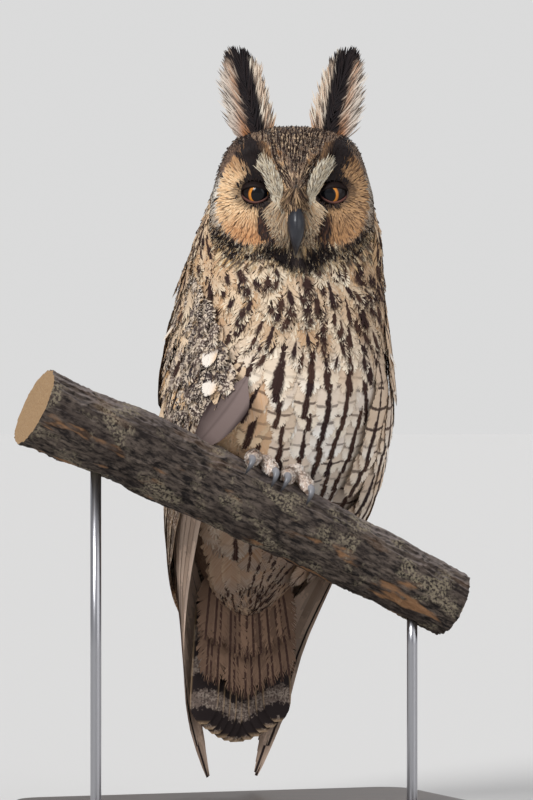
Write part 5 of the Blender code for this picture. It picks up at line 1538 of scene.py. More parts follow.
def make_tail(g):
    """Twelve tail feathers that overlap from the middle outwards, and the coverts over and under
    their roots."""
    random = np.random.default_rng(SEED + 30)
    turn = math.radians(BODY_TURN)
    across = np.array([math.cos(turn), math.sin(turn), 0.0])
    ahead = np.array([math.sin(turn), -math.cos(turn), 0.0])
    part = np.linspace(0, 1, 13)
    spines, colours, marks, forms, patches = [], [], [], [], []
    for sign in (-1, 1):
        for i in range(6):
            out = (i + 0.5) / 6
            sides = sign * (0.021 * out + (0.0260 - 0.021) * out * part)
            layer = 0.0046 - 0.0010 * i + (0.0005 if sign > 0 else -0.0005)
            height = 0.140 + (TAIL_TIP + 0.0010 * i**1.5 - 0.140) * part
            spines.append(tail_place(sides, layer * (0.35 + 0.65 * part), height))
            colours.append(linear(112, 98, 90))
            marks.append(linear(40, 32, 32))
            forms.append((0.05, 1.0, 0.0))
            patches.append((0.94, 0.62 + 0.012 * i + 0.1 * (sign > 0)))
    points = np.array(spines)
    count = len(points)
    sides = np.tile(across, (count, 13, 1))
    normals = np.tile(ahead, (count, 13, 1))
    lines = (points, np.cross(normals, unit(np.gradient(points, axis=1))), normals)
    laid = lay(vane_pattern(48, 13, 0.55, 0.3, 0.84), lines, 0.0090, (0.0, 0.0), random, 0.0, 0.0, 0.0006)
    parts = [paint(laid, np.array(colours), np.array(marks), np.array(forms), np.array(patches), random)]
    # Coverts under the tail, in front of it, darkened to taupe as painted shade under the perch
    for rows, (top, low, depth, half, number) in enumerate(((0.134, 0.066, 0.0060, 0.0070, 13), (0.142, 0.088, 0.0085, 0.0072, 13))):
        place = np.linspace(-1, 1, number) + random.normal(0, 0.05, number)
        path = []
        for x in place:
            side = 0.0265 * x * (0.78 + 0.22 * part)
            height = top - (top - low - 0.012 * abs(x)) * part
            path.append(tail_place(side, -depth - 0.0012 * part + 0.004 * (1 - part), height))
        path = np.array(path)
        normals = np.tile(ahead, (number, 13, 1))
        lines = (path, np.cross(normals, unit(np.gradient(path, axis=1))), normals)
        laid = lay(barb_pattern(30, 0.16, 5.0, 1.5), lines, half, (0.0, 0.0), random, 0.25, 0.0002, 0.0006)
        # painted shade: dark taupe for coverts in the perch's shade
        tone = blend(linear(104, 82, 68), linear(140, 112, 92), random.random(number))
        forms = np.tile([0.09, 0.0, -1.0], (number, 1))
        patch = np.column_stack([np.full(number, 0.955), 0.62 + 0.006 * np.arange(number) + 0.1 * rows])
        parts.append(paint(laid, tone, np.broadcast_to(linear(66, 46, 40), (number, 3)), forms, patch, random))
    # Coverts over the tail, behind it
    for rows, (top, low, depth) in enumerate(((0.150, 0.096, 0.0075), (0.160, 0.118, 0.0095))):
        number = 9
        place = np.linspace(-1, 1, number)
        path = np.array(
            [tail_place(0.016 * x * (0.6 + 0.4 * part), depth - 0.006 * (1 - part), top - (top - low) * part) for x in place]
        )
        normals = np.tile(-ahead, (number, 13, 1))
        lines = (path, np.cross(normals, unit(np.gradient(path, axis=1))), normals)
        laid = lay(vane_pattern(22, 11, 0.5, 0.4, 0.66), lines, 0.0080, (0.0, 0.0), random, 0.0, 0.0, 0.0008)
        tone = np.broadcast_to(linear(110, 92, 78), (number, 3))
        forms = np.tile([0.1, 0.6, 0.0], (number, 1))
        patch = np.column_stack([np.full(number, 0.97), 0.62 + 0.006 * np.arange(number) + 0.1 * rows])
        parts.append(paint(laid, tone, np.broadcast_to(linear(48, 38, 36), (number, 3)), forms, patch, random))
    return join(parts)


# Perch, feet and claws


def perch_ways():
    turn, slope = math.radians(PERCH_TURN), math.radians(PERCH_SLOPE)
    along = np.array([math.cos(slope) * math.cos(turn), math.cos(slope) * math.sin(turn), -math.sin(slope)])
    top = np.array([0.0, 0.0, 1.0]) - along[2] * along
    top = top / np.linalg.norm(top)
    return along, top, np.cross(along, top)


PERCH_ALONG, PERCH_TOP, PERCH_FRONT = perch_ways()


def perch_place(along, angle, lift):
    """Points round the perch, whose middle line bows upwards. Angle 0 is the top and it grows to the
    front, in degrees."""
    along, angle, lift = np.broadcast_arrays(np.asarray(along, float), np.radians(angle), lift)
    taper = PERCH_RADIUS - PERCH_TAPER * (along - PERCH_LEFT) / (PERCH_RIGHT - PERCH_LEFT)
    waves = 0.020 * np.sin(along * 62 + 2 * angle) + 0.018 * np.sin(along * 118 - angle + 1.2)
    radius = (taper + 0.0010) * (1 + waves * (1 - np.exp(-((along / 0.035) ** 2)))) + lift
    bow = -PERCH_BOW * (along / ((PERCH_RIGHT - PERCH_LEFT) / 2)) ** 2 * 0.6
    middle = np.array(PERCH_START) + along[..., None] * PERCH_ALONG + bow[..., None] * PERCH_TOP
    way = PERCH_TOP * np.cos(angle)[..., None] + PERCH_FRONT * np.sin(angle)[..., None]
    return middle + way * radius[..., None]


def value_noise(points, scale):
    """Smooth noise from -1 to 1: chance values on a lattice, blended inside each cell."""
    place = points * scale
    cell = np.floor(place)
    part = place - cell
    part = part * part * (3 - 2 * part)
    total = np.zeros(len(points))
    for corner in np.ndindex(2, 2, 2):
        at = cell + corner
        mixed = np.sin(at @ np.array([127.1, 311.7, 74.7])) * 43758.5453
        weight = np.prod(np.where(np.array(corner) == 1, part, 1 - part), axis=1)
        total += weight * (mixed - np.floor(mixed))
    return 2 * total - 1


def make_perch(g):
    """A length of branch with ridged bark, small lumps and sawn ends. Its map's chance value is 1 on
    the sawn wood."""
    rows, columns = 520, 180
    along = np.linspace(PERCH_LEFT, PERCH_RIGHT, rows)
    angle = np.linspace(0, 360, columns, endpoint=False)
    a, b = [part.ravel() for part in np.meshgrid(along, angle, indexing="ij")]
    turn = np.radians(b)
    wrapped = np.column_stack([a * 1000 / 9.0, np.cos(turn) * 6.0 + a * 14, np.sin(turn) * 6.0])
    twisted = wrapped + 0.7 * np.column_stack([value_noise(wrapped, 0.7), value_noise(wrapped + 9, 0.6), value_noise(wrapped + 4, 0.6)])
    ridge = 1 - np.abs(value_noise(twisted, np.array([0.42, 1.0, 1.0])))
    fine = value_noise(np.column_stack([a * 1000, np.cos(turn) * 21, np.sin(turn) * 21]), np.array([0.55, 1.0, 1.0]))
    lump = value_noise(wrapped, 0.25)
    at_feet = np.exp(-(((a - FOOT_MIDDLE) / 0.030) ** 4)) * (0.5 + 0.5 * np.cos(turn))
    lift = g.bark_depth * (0.9 * (ridge**3 - 0.75) + 0.22 * fine + 0.55 * lump) - 0.0003
    lift = np.where(lift > 0, lift * (1 - 0.9 * at_feet), lift * (1 - 0.5 * at_feet))
    points = perch_place(a, b, lift)
    count = len(points)
    parts = [{"points": points, "faces": grid_faces(rows, columns, True), "chance": np.zeros(count)}]
    fans = []
    for end, place in enumerate((PERCH_LEFT, PERCH_RIGHT)):
        edge = points[:columns] if end == 0 else points[-columns:]
        middle = edge.mean(axis=0)
        out = PERCH_ALONG * (-0.0004 if end == 0 else 0.0004)
        rings = [middle + (edge - middle) * share + out * (1 - share) for share in np.linspace(1.0, 0.06, 12)]
        faces = grid_faces(12, columns, True)
        parts.append(
            {"points": np.concatenate(rings), "faces": faces[:, ::-1] if end == 0 else faces, "chance": np.ones(12 * columns)}
        )
    made = join(parts)
    total = len(made["points"])
    ring = np.arange(columns)
    after = (ring + 1) % columns
    made["points"] = np.vstack([made["points"], points[:columns].mean(0), points[-columns:].mean(0)])
    made["chance"] = np.concatenate([made["chance"], [1.0, 1.0]])
    first = count + 11 * columns
    second = count + 23 * columns
    made["fans"] = np.concatenate(
        [
            np.column_stack([first + after, first + ring, np.full(columns, total)]),
            np.column_stack([second + ring, second + after, np.full(columns, total + 1)]),
        ]
    )
    return made


TOES = ((38.0, -0.0055, -0.0020), (40.0, 0.0050, 0.0020), (-36.0, -0.0060, -0.0020), (-38.0, 0.0060, 0.0020))


def toe_lines(middle):
    """The middle lines and radii of a foot's shank and four toes."""
    base = perch_place(middle, 0.0, 0.0045)
    up = np.array([0.0, 0.0, 0.9]) - PERCH_FRONT * 0.35
    up = up / np.linalg.norm(up)
    part = np.linspace(0, 1, 26)
    shank = base + up * (-0.003 + 0.025 * part)[:, None]
    made = [(shank, 0.0060 * (0.9 + 0.3 * part))]
    for end, splay, start in TOES:
        path = perch_place(middle + start + splay * part, end * part, TOE_RADIUS * (0.93 - 0.16 * part))
        joints = 1 + 0.07 * np.sin(part * 9.5 + 0.6)
        radii = TOE_RADIUS * np.interp(part, np.linspace(0, 1, 6), (1.08, 1.02, 0.95, 0.92, 0.84, 0.60)) * joints
        made.append((path, radii))
    return made


def make_foot(sign):
    middle = FOOT_MIDDLE + sign * FOOT_SPREAD
    parts = []
    fans, shift = [], 0
    for path, radii in toe_lines(middle):
        made = closed_tube(path, radii, 24, PERCH_ALONG)
        fans.append(made.pop("fans") + shift)
        shift += len(made["points"])
        made["tone"] = np.tile(linear(206, 180, 162), (len(made["points"]), 1))
        parts.append(made)
    foot = join(parts)
    foot["fans"] = np.concatenate(fans)
    return foot


def make_foot_coat(g, sign):
    """Short pale feathers over the toes, which point to the claws, and longer ones down the shank."""
    random = np.random.default_rng(SEED + 40 + sign)
    parts = []
    for number, (path, radii) in enumerate(toe_lines(FOOT_MIDDLE + sign * FOOT_SPREAD)):
        ahead = unit(np.gradient(path, axis=0))
        across = unit(np.cross(ahead, PERCH_ALONG))
        over = np.cross(across, ahead)
        rows = np.linspace(0, 1, len(path))

        def tube_surface(first, second):
            first = np.clip(first, 0.0, 1.06)

            def at(values):
                return np.stack([np.interp(first, rows, column) for column in values.T], -1)

            radius = np.interp(first, rows, radii)[..., None]
            extra = np.maximum(first - 1, 0)[..., None] * (path[-1] - path[-2]) * 25
            return at(path) + extra + radius * (np.cos(second)[..., None] * at(across) + np.sin(second)[..., None] * at(over))

        count = 420 if number == 0 else 300
        along = random.uniform(0.0, 0.97, count)
        turn = random.uniform(0, 2 * math.pi, count)
        point = tube_surface(along, turn)
        middle = np.stack([np.interp(along, rows, column) for column in path.T], -1)
        inwards = dot(point - middle, middle - perch_place(FOOT_MIDDLE, 0.0, -PERCH_RADIUS))
        keep = inwards > -0.000045
        along, turn = along[keep], turn[keep]
        way = 1.0 if number else -1.0
        sway = random.normal(0, 0.25, len(along))

        def flow(point, up, aside):
            return up * -way * -1 + aside * sway[:, None]

        length = np.full(len(along), 0.0105 if number == 0 else 0.0052) * random.uniform(0.8, 1.15, len(along))
        lines = grow(tube_surface, along, turn, flow, length, 4)
        flip = np.sign(dot(lines[2][:, 0], tube_surface(along, turn) - np.stack([np.interp(along, rows, c) for c in path.T], -1)))
        lines = (lines[0], lines[1] * flip[:, None, None], lines[2] * flip[:, None, None])
        half = 0.0021 if number == 0 else 0.00105
        laid = lay(barb_pattern(5, 0.34, 2.4), lines, half, (-0.0003, 0.0009), random, 0.9, 0.0002)
        tone = blend(linear(255, 250, 244), linear(240, 224, 212), random.random(len(along)))
        form = np.column_stack([np.zeros(len(along)), random.uniform(0, 0.10, len(along)), np.full(len(along), 0.1)])
        mark = np.broadcast_to(linear(120, 84, 68), tone.shape)
        patch = np.column_stack([0.02 + 0.004 * number + 0 * along, 0.975 + 0.012 * along])
        parts.append(paint(laid, tone, mark, form, patch, random))
    return join(parts)


def make_claw(sign, toe):
    """A curved claw that leaves the toe's end and comes down on the bark."""
    end, splay, start = TOES[toe]
    middle = FOOT_MIDDLE + sign * FOOT_SPREAD
    hook = math.copysign(1.0, end)
    part = np.linspace(0, 1, 30)
    angle = end - hook * 3.0 + hook * 25.0 * part
    lift = 0.0046 + 0.0022 * np.sin(math.pi * np.minimum(1.0, part * 1.1)) - 0.0044 * part**1.6
    path = perch_place(middle + start + splay * (1.02 + 0.20 * part), angle, lift)
    radii = 0.0017 * np.interp(part, np.linspace(0, 1, 7), (1.25, 1.2, 1.08, 0.9, 0.68, 0.42, 0.03))
    return closed_tube(path, radii, 20, PERCH_ALONG)


def make_base(g):
    """A flat plate with rounded corners whose top edge is rounded over."""
    outline = []
    for quarter in range(4):
        middle_x = (0.240 / 2 - 0.018) * (1 if quarter in (0, 3) else -1)
        middle_y = (0.150 / 2 - 0.018) * (1 if quarter in (0, 1) else -1)
        turn = np.radians(np.linspace(quarter * 90, quarter * 90 + 90, 17))
        outline.append(np.column_stack([middle_x + 0.018 * np.cos(turn), middle_y + 0.018 * np.sin(turn)]))
    outline = np.concatenate(outline)
    bend = np.radians(np.linspace(0, 90, 8))
    insets = np.concatenate([[0.0012, 0.0004, 0.0], 0.0016 * (1 - np.cos(bend)), [0.006, 0.04]])
    heights = np.concatenate([[0.0, 0.0003, 0.0012], 0.012 - 0.0016 + 0.0016 * np.sin(bend), [0.012, 0.012]])
    turn = math.radians(PERCH_TURN)
    rings = []
    for inset, height in zip(insets, heights):
        flat = outline * np.array([1 - 2 * inset / 0.240, 1 - 2 * inset / 0.150])
        x = flat[:, 0] * math.cos(turn) - flat[:, 1] * math.sin(turn)
        y = flat[:, 0] * math.sin(turn) + flat[:, 1] * math.cos(turn)
        rings.append(np.column_stack([x, y, np.full(len(x), height)]))
    columns, rows = len(outline), len(rings)
    points = np.concatenate(rings)
    ring = np.arange(columns)
    after = (ring + 1) % columns
    last = len(points)
    fans = np.concatenate(
        [
            np.column_stack([after, ring, np.full(columns, last)]),
            np.column_stack([ring + last - columns, after + last - columns, np.full(columns, last + 1)]),
        ]
    )
    points = np.vstack([points, [[0.0, 0.0, 0.0]], [[0.0, 0.0, 0.012]]])
    return {"points": points, "faces": grid_faces(rows, columns, True), "fans": fans}


def make_rod(along):
    """An upright rod from the base into the perch's underside."""
    middle = perch_place(along, 0.0, 0.0) - PERCH_TOP * 0.0
    line = np.array(PERCH_START) + along * PERCH_ALONG
    bow = -PERCH_BOW * (along / ((PERCH_RIGHT - PERCH_LEFT) / 2)) ** 2 * 0.6
    line = line + bow * PERCH_TOP
    heights = np.array([0.0123, 0.0123, 0.0130, 0.05, 0.10, line[2] - 0.016])
    radii = np.array([0.0020, 0.0030, 0.0030, 0.0030, 0.0030, 0.0030])
    path = np.column_stack([np.full(6, line[0]), np.full(6, line[1]), heights])
    path[1, 2] += 1e-6
    return closed_tube(path, radii, 40, (0.0, 1.0, 0.0))


# More materials


def tone_material(name, roughness=0.7, specular=0.3):
    """Skin coloured by its points."""
    s = Shader(name, roughness, specular)
    grain = s.noise(900.0, 2.0)
    s.colour(s.mix(s.math("MULTIPLY", grain, 0.35), s.attribute("tone").outputs["Color"], tuple(UMBER)))
    s.bump(grain, 0.0003, 0.5)
    return s.material


def wing_material(name):
    """Flight feathers and coverts: wavy bars, a speckled wave pattern, a dark shaft, pale spots near the
    tip of the front web and a buff fringe. Form holds the shaft's half width, the bars' strength and
    the size of the spot."""
    s = Shader(name, 0.76, 0.18)
    node = s.tree.nodes.new("ShaderNodeUVMap")
    node.uv_map = "Feather"
    parts = s.tree.nodes.new("ShaderNodeSeparateXYZ")
    s.tree.links.new(node.outputs["UV"], parts.inputs[0])
    u = parts.outputs[0]
    signed = s.math("MULTIPLY_ADD", parts.outputs[1], 2.0, -1.0)
    x = s.math("ABSOLUTE", signed)
    form = s.attribute("form")
    numbers = s.tree.nodes.new("ShaderNodeSeparateXYZ")
    s.tree.links.new(form.outputs["Vector"], numbers.inputs[0])
    streak, bar, spots = numbers.outputs
    chance = s.attribute("chance").outputs["Fac"]
    coarse, fine = s.noise(420.0, 2.0), s.noise(820.0, 2.5)
    wobble = s.math("MULTIPLY_ADD", coarse, 0.10, -0.05)
    wave = s.math("ADD", s.math("MULTIPLY_ADD", x, -0.03, u), wobble)
    swing = s.math("SINE", s.math("MULTIPLY", s.math("MULTIPLY_ADD", chance, 0.03, wave), 6.283 * 4.5))
    barred = s.math("MULTIPLY", s.fade(swing, -0.25, 0.25), bar)
    tone = s.attribute("tone").outputs["Color"]
    mark = s.attribute("mark").outputs["Color"]
    ripple = s.math("SINE", s.math("MULTIPLY", s.math("MULTIPLY_ADD", fine, 0.10, wave), 6.283 * 12.0))
    specks = s.math("MULTIPLY", s.fade(s.math("MULTIPLY_ADD", ripple, 0.05, fine), 0.50, 0.60), s.math("SUBTRACT", 1.0, s.math("MULTIPLY", bar, 0.75)))
    speckled = s.fade(spots, -1.0, -0.5)
    specks = s.math("MULTIPLY", s.math("MULTIPLY", specks, s.fade(s.noise(95.0, 1.0), 0.32, 0.50)), speckled)
    base = s.mix(s.math("MULTIPLY", specks, 0.90), tone, tuple(linear(236, 220, 202)))
    patches = s.math("MULTIPLY", s.fade(s.noise(300.0, 2.0), 0.50, 0.57), s.math("SUBTRACT", 0.80, s.math("MULTIPLY", bar, 0.80)))
    base = s.mix(s.math("MULTIPLY", patches, speckled), base, tuple(linear(230, 210, 186)))
    darker = s.math("MULTIPLY", s.math("MULTIPLY", s.fade(s.math("SUBTRACT", 1.0, fine), 0.52, 0.64), 0.5), speckled)
    base = s.mix(darker, base, mark)
    shaft = s.math("SUBTRACT", 1.0, s.fade(s.math("ADD", x, wobble), s.math("MULTIPLY", streak, 0.7), s.math("MULTIPLY_ADD", streak, 1.2, 0.03)))
    shaft = s.math("MULTIPLY", shaft, s.fade(streak, 0.03, 0.08))
    base = s.mix(s.math("MAXIMUM", barred, shaft, clamp=True), base, mark)
    scale = s.math("MULTIPLY_ADD", spots, 0.9, 0.25)
    across = s.math("DIVIDE", s.math("SUBTRACT", signed, 0.42), s.math("MULTIPLY", scale, 0.46))
    along = s.math("DIVIDE", s.math("SUBTRACT", u, 0.86), s.math("MULTIPLY", scale, 0.115))
    radius = s.math("SQRT", s.math("ADD", s.math("MULTIPLY", across, across), s.math("MULTIPLY", along, along)))
    spot = s.math("SUBTRACT", 1.0, s.fade(s.math("MULTIPLY_ADD", wobble, 6.0, radius), 0.35, 1.25))
    spot = s.math("MULTIPLY", spot, s.fade(spots, 0.25, 0.6))
    pale = s.mix(s.fade(chance, 0.3, 0.8), tuple(linear(206, 172, 132)), tuple(linear(228, 216, 198)))
    base = s.mix(spot, base, s.mix(s.fade(spots, 0.7, 0.9), pale, tuple(linear(236, 230, 220))))
    edge = s.math("MAXIMUM", s.fade(x, 0.84, 1.0), s.fade(u, 0.97, 1.0))
    base = s.mix(s.math("MULTIPLY", s.math("MULTIPLY", edge, 0.45), speckled), base, tuple(linear(204, 172, 134)))
    s.colour(base)
    barbs = s.math("SINE", s.math("MULTIPLY", s.math("MULTIPLY_ADD", x, -0.45, u), 500.0))
    s.bump(barbs, 0.00012, 0.35)
    return s.material


def eye_material(name, iris, pupil, ring):
    """Pupil, iris with fine spokes and a dark outer ring, under a clear coat."""
    s = Shader(name, 0.30, 0.06, Coat_Weight=0.38, Coat_Roughness=0.02)
    node = s.tree.nodes.new("ShaderNodeUVMap")
    node.uv_map = "Feather"
    parts = s.tree.nodes.new("ShaderNodeSeparateXYZ")
    s.tree.links.new(node.outputs["UV"], parts.inputs[0])
    degrees = s.math("MULTIPLY", parts.outputs[0], 90.0)
    around = s.math("MULTIPLY", parts.outputs[1], 6.2832)
    vector = s.joined(s.math("MULTIPLY", s.math("SINE", around), 9.0), s.math("MULTIPLY", s.math("COSINE", around), 9.0), s.math("MULTIPLY", degrees, 0.05))
    spokes = s.noise(2.6, 3.0, vector)
    deep = tuple(np.array(iris) * np.array([0.80, 0.66, 0.6]))
    colour = s.mix(s.fade(spokes, 0.35, 0.70), deep, tuple(iris))
    colour = s.mix(s.math("MULTIPLY", s.fade(degrees, ring - 4.0, ring), 0.7), colour, tuple(linear(120, 62, 18)))
    colour = s.mix(s.fade(degrees, ring, ring + 2.5), colour, tuple(linear(22, 15, 14)))
    colour = s.mix(s.fade(degrees, pupil - 0.8, pupil + 0.8), tuple(linear(8, 9, 14)), colour)
    s.colour(colour)
    return s.material


def horn_material(name, colour, tip):
    """Horn that darkens along its length, with fine streaks along it."""
    s = Shader(name, 0.36, 0.35, Coat_Weight=0.20, Coat_Roughness=0.2)
    u, x = s.feather()
    streaks = s.noise(500.0, 3.0, s.place((1.0, 1.0, 0.18)))
    mixed = s.mix(s.fade(u, 0.15, 0.95), tuple(colour), tuple(tip))
    s.colour(s.mix(s.math("MULTIPLY", streaks, 0.35), mixed, tuple(linear(66, 68, 76))))
    s.bump(streaks, 0.0001, 0.4)
    return s.material


def bark_material(name):
    """Dark bark with fine cracks along it, greyer on top as a painted highlight, faint olive lichen and buff peeling
    patches low on it, and pale sawn ends."""
    s = Shader(name, 0.86, 0.2)
    slope, turn = math.radians(PERCH_SLOPE), math.radians(PERCH_TURN)
    turned_place = s.tree.nodes.new("ShaderNodeMapping")
    s.tree.links.new(s.place(), turned_place.inputs["Vector"])
    turned_place.vector_type = "TEXTURE"
    turned_place.inputs["Rotation"].default_value = (0.0, slope, turn)
    turned_place.inputs["Scale"].default_value = (3.2, 1.0, 1.0)
    long_place = turned_place.outputs["Vector"]
    crack = s.noise(420.0, 5.0, long_place, 0.68)
    broad = s.noise(70.0, 3.0, long_place)
    specks = s.noise(700.0, 2.0)
    colour = s.mix(s.fade(crack, 0.36, 0.66), tuple(linear(24, 20, 20)), tuple(linear(98, 87, 79)))
    colour = s.mix(s.math("MULTIPLY", s.fade(broad, 0.45, 0.65), 0.5), colour, tuple(linear(46, 38, 36)))
    normal = s.tree.nodes.new("ShaderNodeNewGeometry")
    parts = s.tree.nodes.new("ShaderNodeSeparateXYZ")
    s.tree.links.new(normal.outputs["Normal"], parts.inputs[0])
    # painted highlight: the bark turns greyer where its normal faces up
    top = s.fade(parts.outputs[2], 0.45, 0.95)
    colour = s.mix(s.math("MULTIPLY", top, 0.50), colour, tuple(linear(150, 138, 134)))
    patch = s.noise(62.0, 3.0)
    lichen = s.math("MULTIPLY", s.fade(patch, 0.50, 0.62), s.fade(specks, 0.42, 0.58))
    colour = s.mix(s.math("MULTIPLY", lichen, 0.62), colour, tuple(linear(148, 137, 116)))
    low = s.fade(s.math("MULTIPLY", parts.outputs[2], -1.0), 0.05, 0.60)
    peel = s.math("MULTIPLY", s.fade(s.noise(95.0, 2.0, long_place), 0.58, 0.66), s.math("MULTIPLY_ADD", low, 0.75, 0.10))
    colour = s.mix(peel, colour, tuple(linear(150, 112, 80)))
    cut = s.attribute("chance").outputs["Fac"]
    wood = s.mix(s.noise(900.0, 3.0), tuple(linear(182, 154, 118)), tuple(linear(142, 108, 76)))
    s.colour(s.mix(cut, colour, wood))
    s.bump(crack, 0.0016, 0.9)
    return s.material


def wood_material(name, colour):
    """Dark stained wood with a straight grain, under a satin coat."""
    s = Shader(name, 0.42, 0.4, Coat_Weight=0.15, Coat_Roughness=0.35)
    turn = s.place((6.0, 60.0, 60.0))
    grain = s.noise(3.0, 5.0, turn, 0.6)
    s.colour(s.mix(s.fade(grain, 0.35, 0.70), tuple(np.array(colour) * 0.55), tuple(colour)))
    s.bump(grain, 0.0002, 0.3)
    return s.material


# Settings


class OwlCoatSettings(PropertyGroup):
    """Sizes of the body's feathers."""

    depth: FloatProperty(name="Coat depth", description="How deep the skin lies under the coat", default=0.0026, unit="LENGTH")
    row_gap: FloatProperty(name="Row gap", description="Space between rows of soft feathers", default=0.0052, unit="LENGTH")
    gap: FloatProperty(name="Gap", description="Space between soft feathers of a row", default=0.0062, unit="LENGTH")
    mark_count: IntProperty(name="Streaked feathers", description="Streaked feathers round the body in a row", default=27)
    hair_gap: FloatProperty(name="Face gap", description="Space between the face's hairs", default=0.00085, unit="LENGTH")
    brow_count: IntProperty(name="Brow hairs", description="Pale hairs of both brows", default=3000)
    bristle_count: IntProperty(name="Bristles", description="Bristles beside the bill", default=1700)
    tuft_hairs: IntProperty(name="Tuft hairs", description="Hairs of each ear tuft", default=2300)


class OwlEyeSettings(PropertyGroup):
    """Colours and sizes of the eyes."""

    iris: FloatVectorProperty(name="Iris", description="Colour of the iris", default=(0.66, 0.27, 0.032), subtype="COLOR")
    pupil: FloatProperty(name="Pupil", description="Angle of the pupil's edge in degrees", default=28.0)
    ring: FloatProperty(name="Iris edge", description="Angle of the iris' edge in degrees", default=37.5)
    pitch: FloatProperty(name="Pitch", description="How far both eyes look down in degrees", default=8.0)
    gaze_right: FloatProperty(name="Right gaze", description="Turn of the owl's right eye in degrees", default=9.0)
    gaze_left: FloatProperty(name="Left gaze", description="Turn of the owl's left eye in degrees", default=-13.0)


class OwlPerchSettings(PropertyGroup):
    """Bark, stand and horn."""

    bark_depth: FloatProperty(name="Bark depth", description="Height of the bark's ridges", default=0.0015, unit="LENGTH")
    stain: FloatVectorProperty(name="Stain", description="Colour of the base", default=(0.060, 0.036, 0.022), subtype="COLOR")
    bill: FloatVectorProperty(name="Bill", description="Colour of the bill", default=(0.010, 0.011, 0.015), subtype="COLOR")
    # the claws' light grey stands partly for their grey horn and partly for a painted silvery highlight
    claw: FloatVectorProperty(name="Claws", description="Colour of the claws", default=(0.30, 0.30, 0.32), subtype="COLOR")


class OwlStageSettings(PropertyGroup):
    """Camera, lights and floor."""

    distance: FloatProperty(name="Distance", description="Way from the camera to the owl", default=2.6, unit="LENGTH")
    frame_high: FloatProperty(name="Frame", description="Height of the picture at the owl", default=0.448, unit="LENGTH")
    key: FloatProperty(name="Key light", description="Strength of the main light", default=2.65)
    world: FloatProperty(name="World", description="Strength of the world's light", default=0.40)


class OwlSettings(PropertyGroup):
    """All settings of the owl."""

    coat: PointerProperty(type=OwlCoatSettings)
    eye: PointerProperty(type=OwlEyeSettings)
    perch: PointerProperty(type=OwlPerchSettings)
    stage: PointerProperty(type=OwlStageSettings)


# Operators


class OWL_OT_skin(Operator):
    """Makes the body's skin under its coat"""

    bl_idname = "owl.skin"
    bl_label = "Skin"

    def execute(self, context):
        made = make_skin(context.scene.owl.coat.depth)
        make_mesh("skin", made, tone_material("skin"), ("torso", "neck", "head"))
        return {"FINISHED"}


class OWL_OT_coat(Operator):
    """Covers the body and head with feathers"""

    bl_idname = "owl.coat"
    bl_label = "Body coat"

    def execute(self, context):
        g = context.scene.owl.coat
        look = plumage_material("body_feathers")
        make_mesh("coat_belly", make_belly(g), look)
        make_mesh("coat_breast", make_breast(g), look)
        make_mesh("coat_nape", make_nape(g), look)
        make_mesh("coat_crown", make_crown(g), look)
        return {"FINISHED"}


class OWL_OT_face(Operator):
    """Lays the facial discs, rims, brows and bristles"""

    bl_idname = "owl.face"
    bl_label = "Face"

    def execute(self, context):
        look = hair_material("face_hair")
        for name, made in zip(("coat_face", "coat_brows"), make_face(context.scene.owl.coat)):
            make_mesh(name, made, look)
        return {"FINISHED"}


class OWL_OT_eyes(Operator):
    """Makes both eyes and their lids"""

    bl_idname = "owl.eyes"
    bl_label = "Eyes"

    def execute(self, context):
        g = context.scene.owl.eye
        look = eye_material("eye", g.iris, g.pupil, g.ring)
        skin = tone_material("lid_skin", 0.6, 0.12)
        for name, sign, gaze in (("right", -1, g.gaze_right), ("left", 1, g.gaze_left)):
            make_mesh("eyeball_" + name, make_eye(gaze, g.pitch), look, ("eye_" + name,))
            make_mesh("lid_" + name, make_lid(sign), skin)
        return {"FINISHED"}


class OWL_OT_bill(Operator):
    """Makes the upper and lower bill"""

    bl_idname = "owl.bill"
    bl_label = "Bill"

    def execute(self, context):
        look = horn_material("bill", context.scene.owl.perch.bill, linear(34, 33, 38))
        make_mesh("upper_bill", make_bill_upper(), look, ("bill_upper",))
        make_mesh("lower_bill", make_bill_lower(), look, ("bill_lower",))
        return {"FINISHED"}


class OWL_OT_tufts(Operator):
    """Makes both ear tufts"""

    bl_idname = "owl.tufts"
    bl_label = "Ear tufts"

    def execute(self, context):
        g = context.scene.owl.coat
        look = hair_material("tuft_hair")
        for name, sign in (("right", -1), ("left", 1)):
            make_mesh("tuft_" + name, make_tuft(g, sign), look, ("ear_tuft_" + name,))
        return {"FINISHED"}


class OWL_OT_wings(Operator):
    """Makes both folded wings and the tail"""

    bl_idname = "owl.wings"
    bl_label = "Wings and tail"

    def execute(self, context):
        g = context.scene.owl.coat
        look = wing_material("flight_feathers")
        for name, sign in (("right", -1), ("left", 1)):
            make_mesh("feathers_wing_" + name, make_wing(g, sign), look, ("wing_" + name,))
        make_mesh("feathers_tail", make_tail(g), look, ("tail",))
        return {"FINISHED"}


class OWL_OT_feet(Operator):
    """Makes the feathered feet and their claws"""

    bl_idname = "owl.feet"
    bl_label = "Feet"

    def execute(self, context):
        g = context.scene.owl
        skin = tone_material("toe_skin")
        look = plumage_material("toe_feathers")
        # claw horn: light grey partly painted highlight, darkening to a near-black tip
        horn = horn_material("claw", g.perch.claw, linear(20, 19, 22))
        for name, sign in (("right", -1), ("left", 1)):
            make_mesh("foot_" + name, make_foot(sign), skin, ("leg_" + name,))
            make_mesh("coat_foot_" + name, make_foot_coat(g.coat, sign), look)
            for toe in range(4):
                node = "claw_%s_%d" % (name, toe + 1)
                make_mesh("talon_%s_%d" % (name, toe + 1), make_claw(sign, toe), horn, (node,))
        return {"FINISHED"}


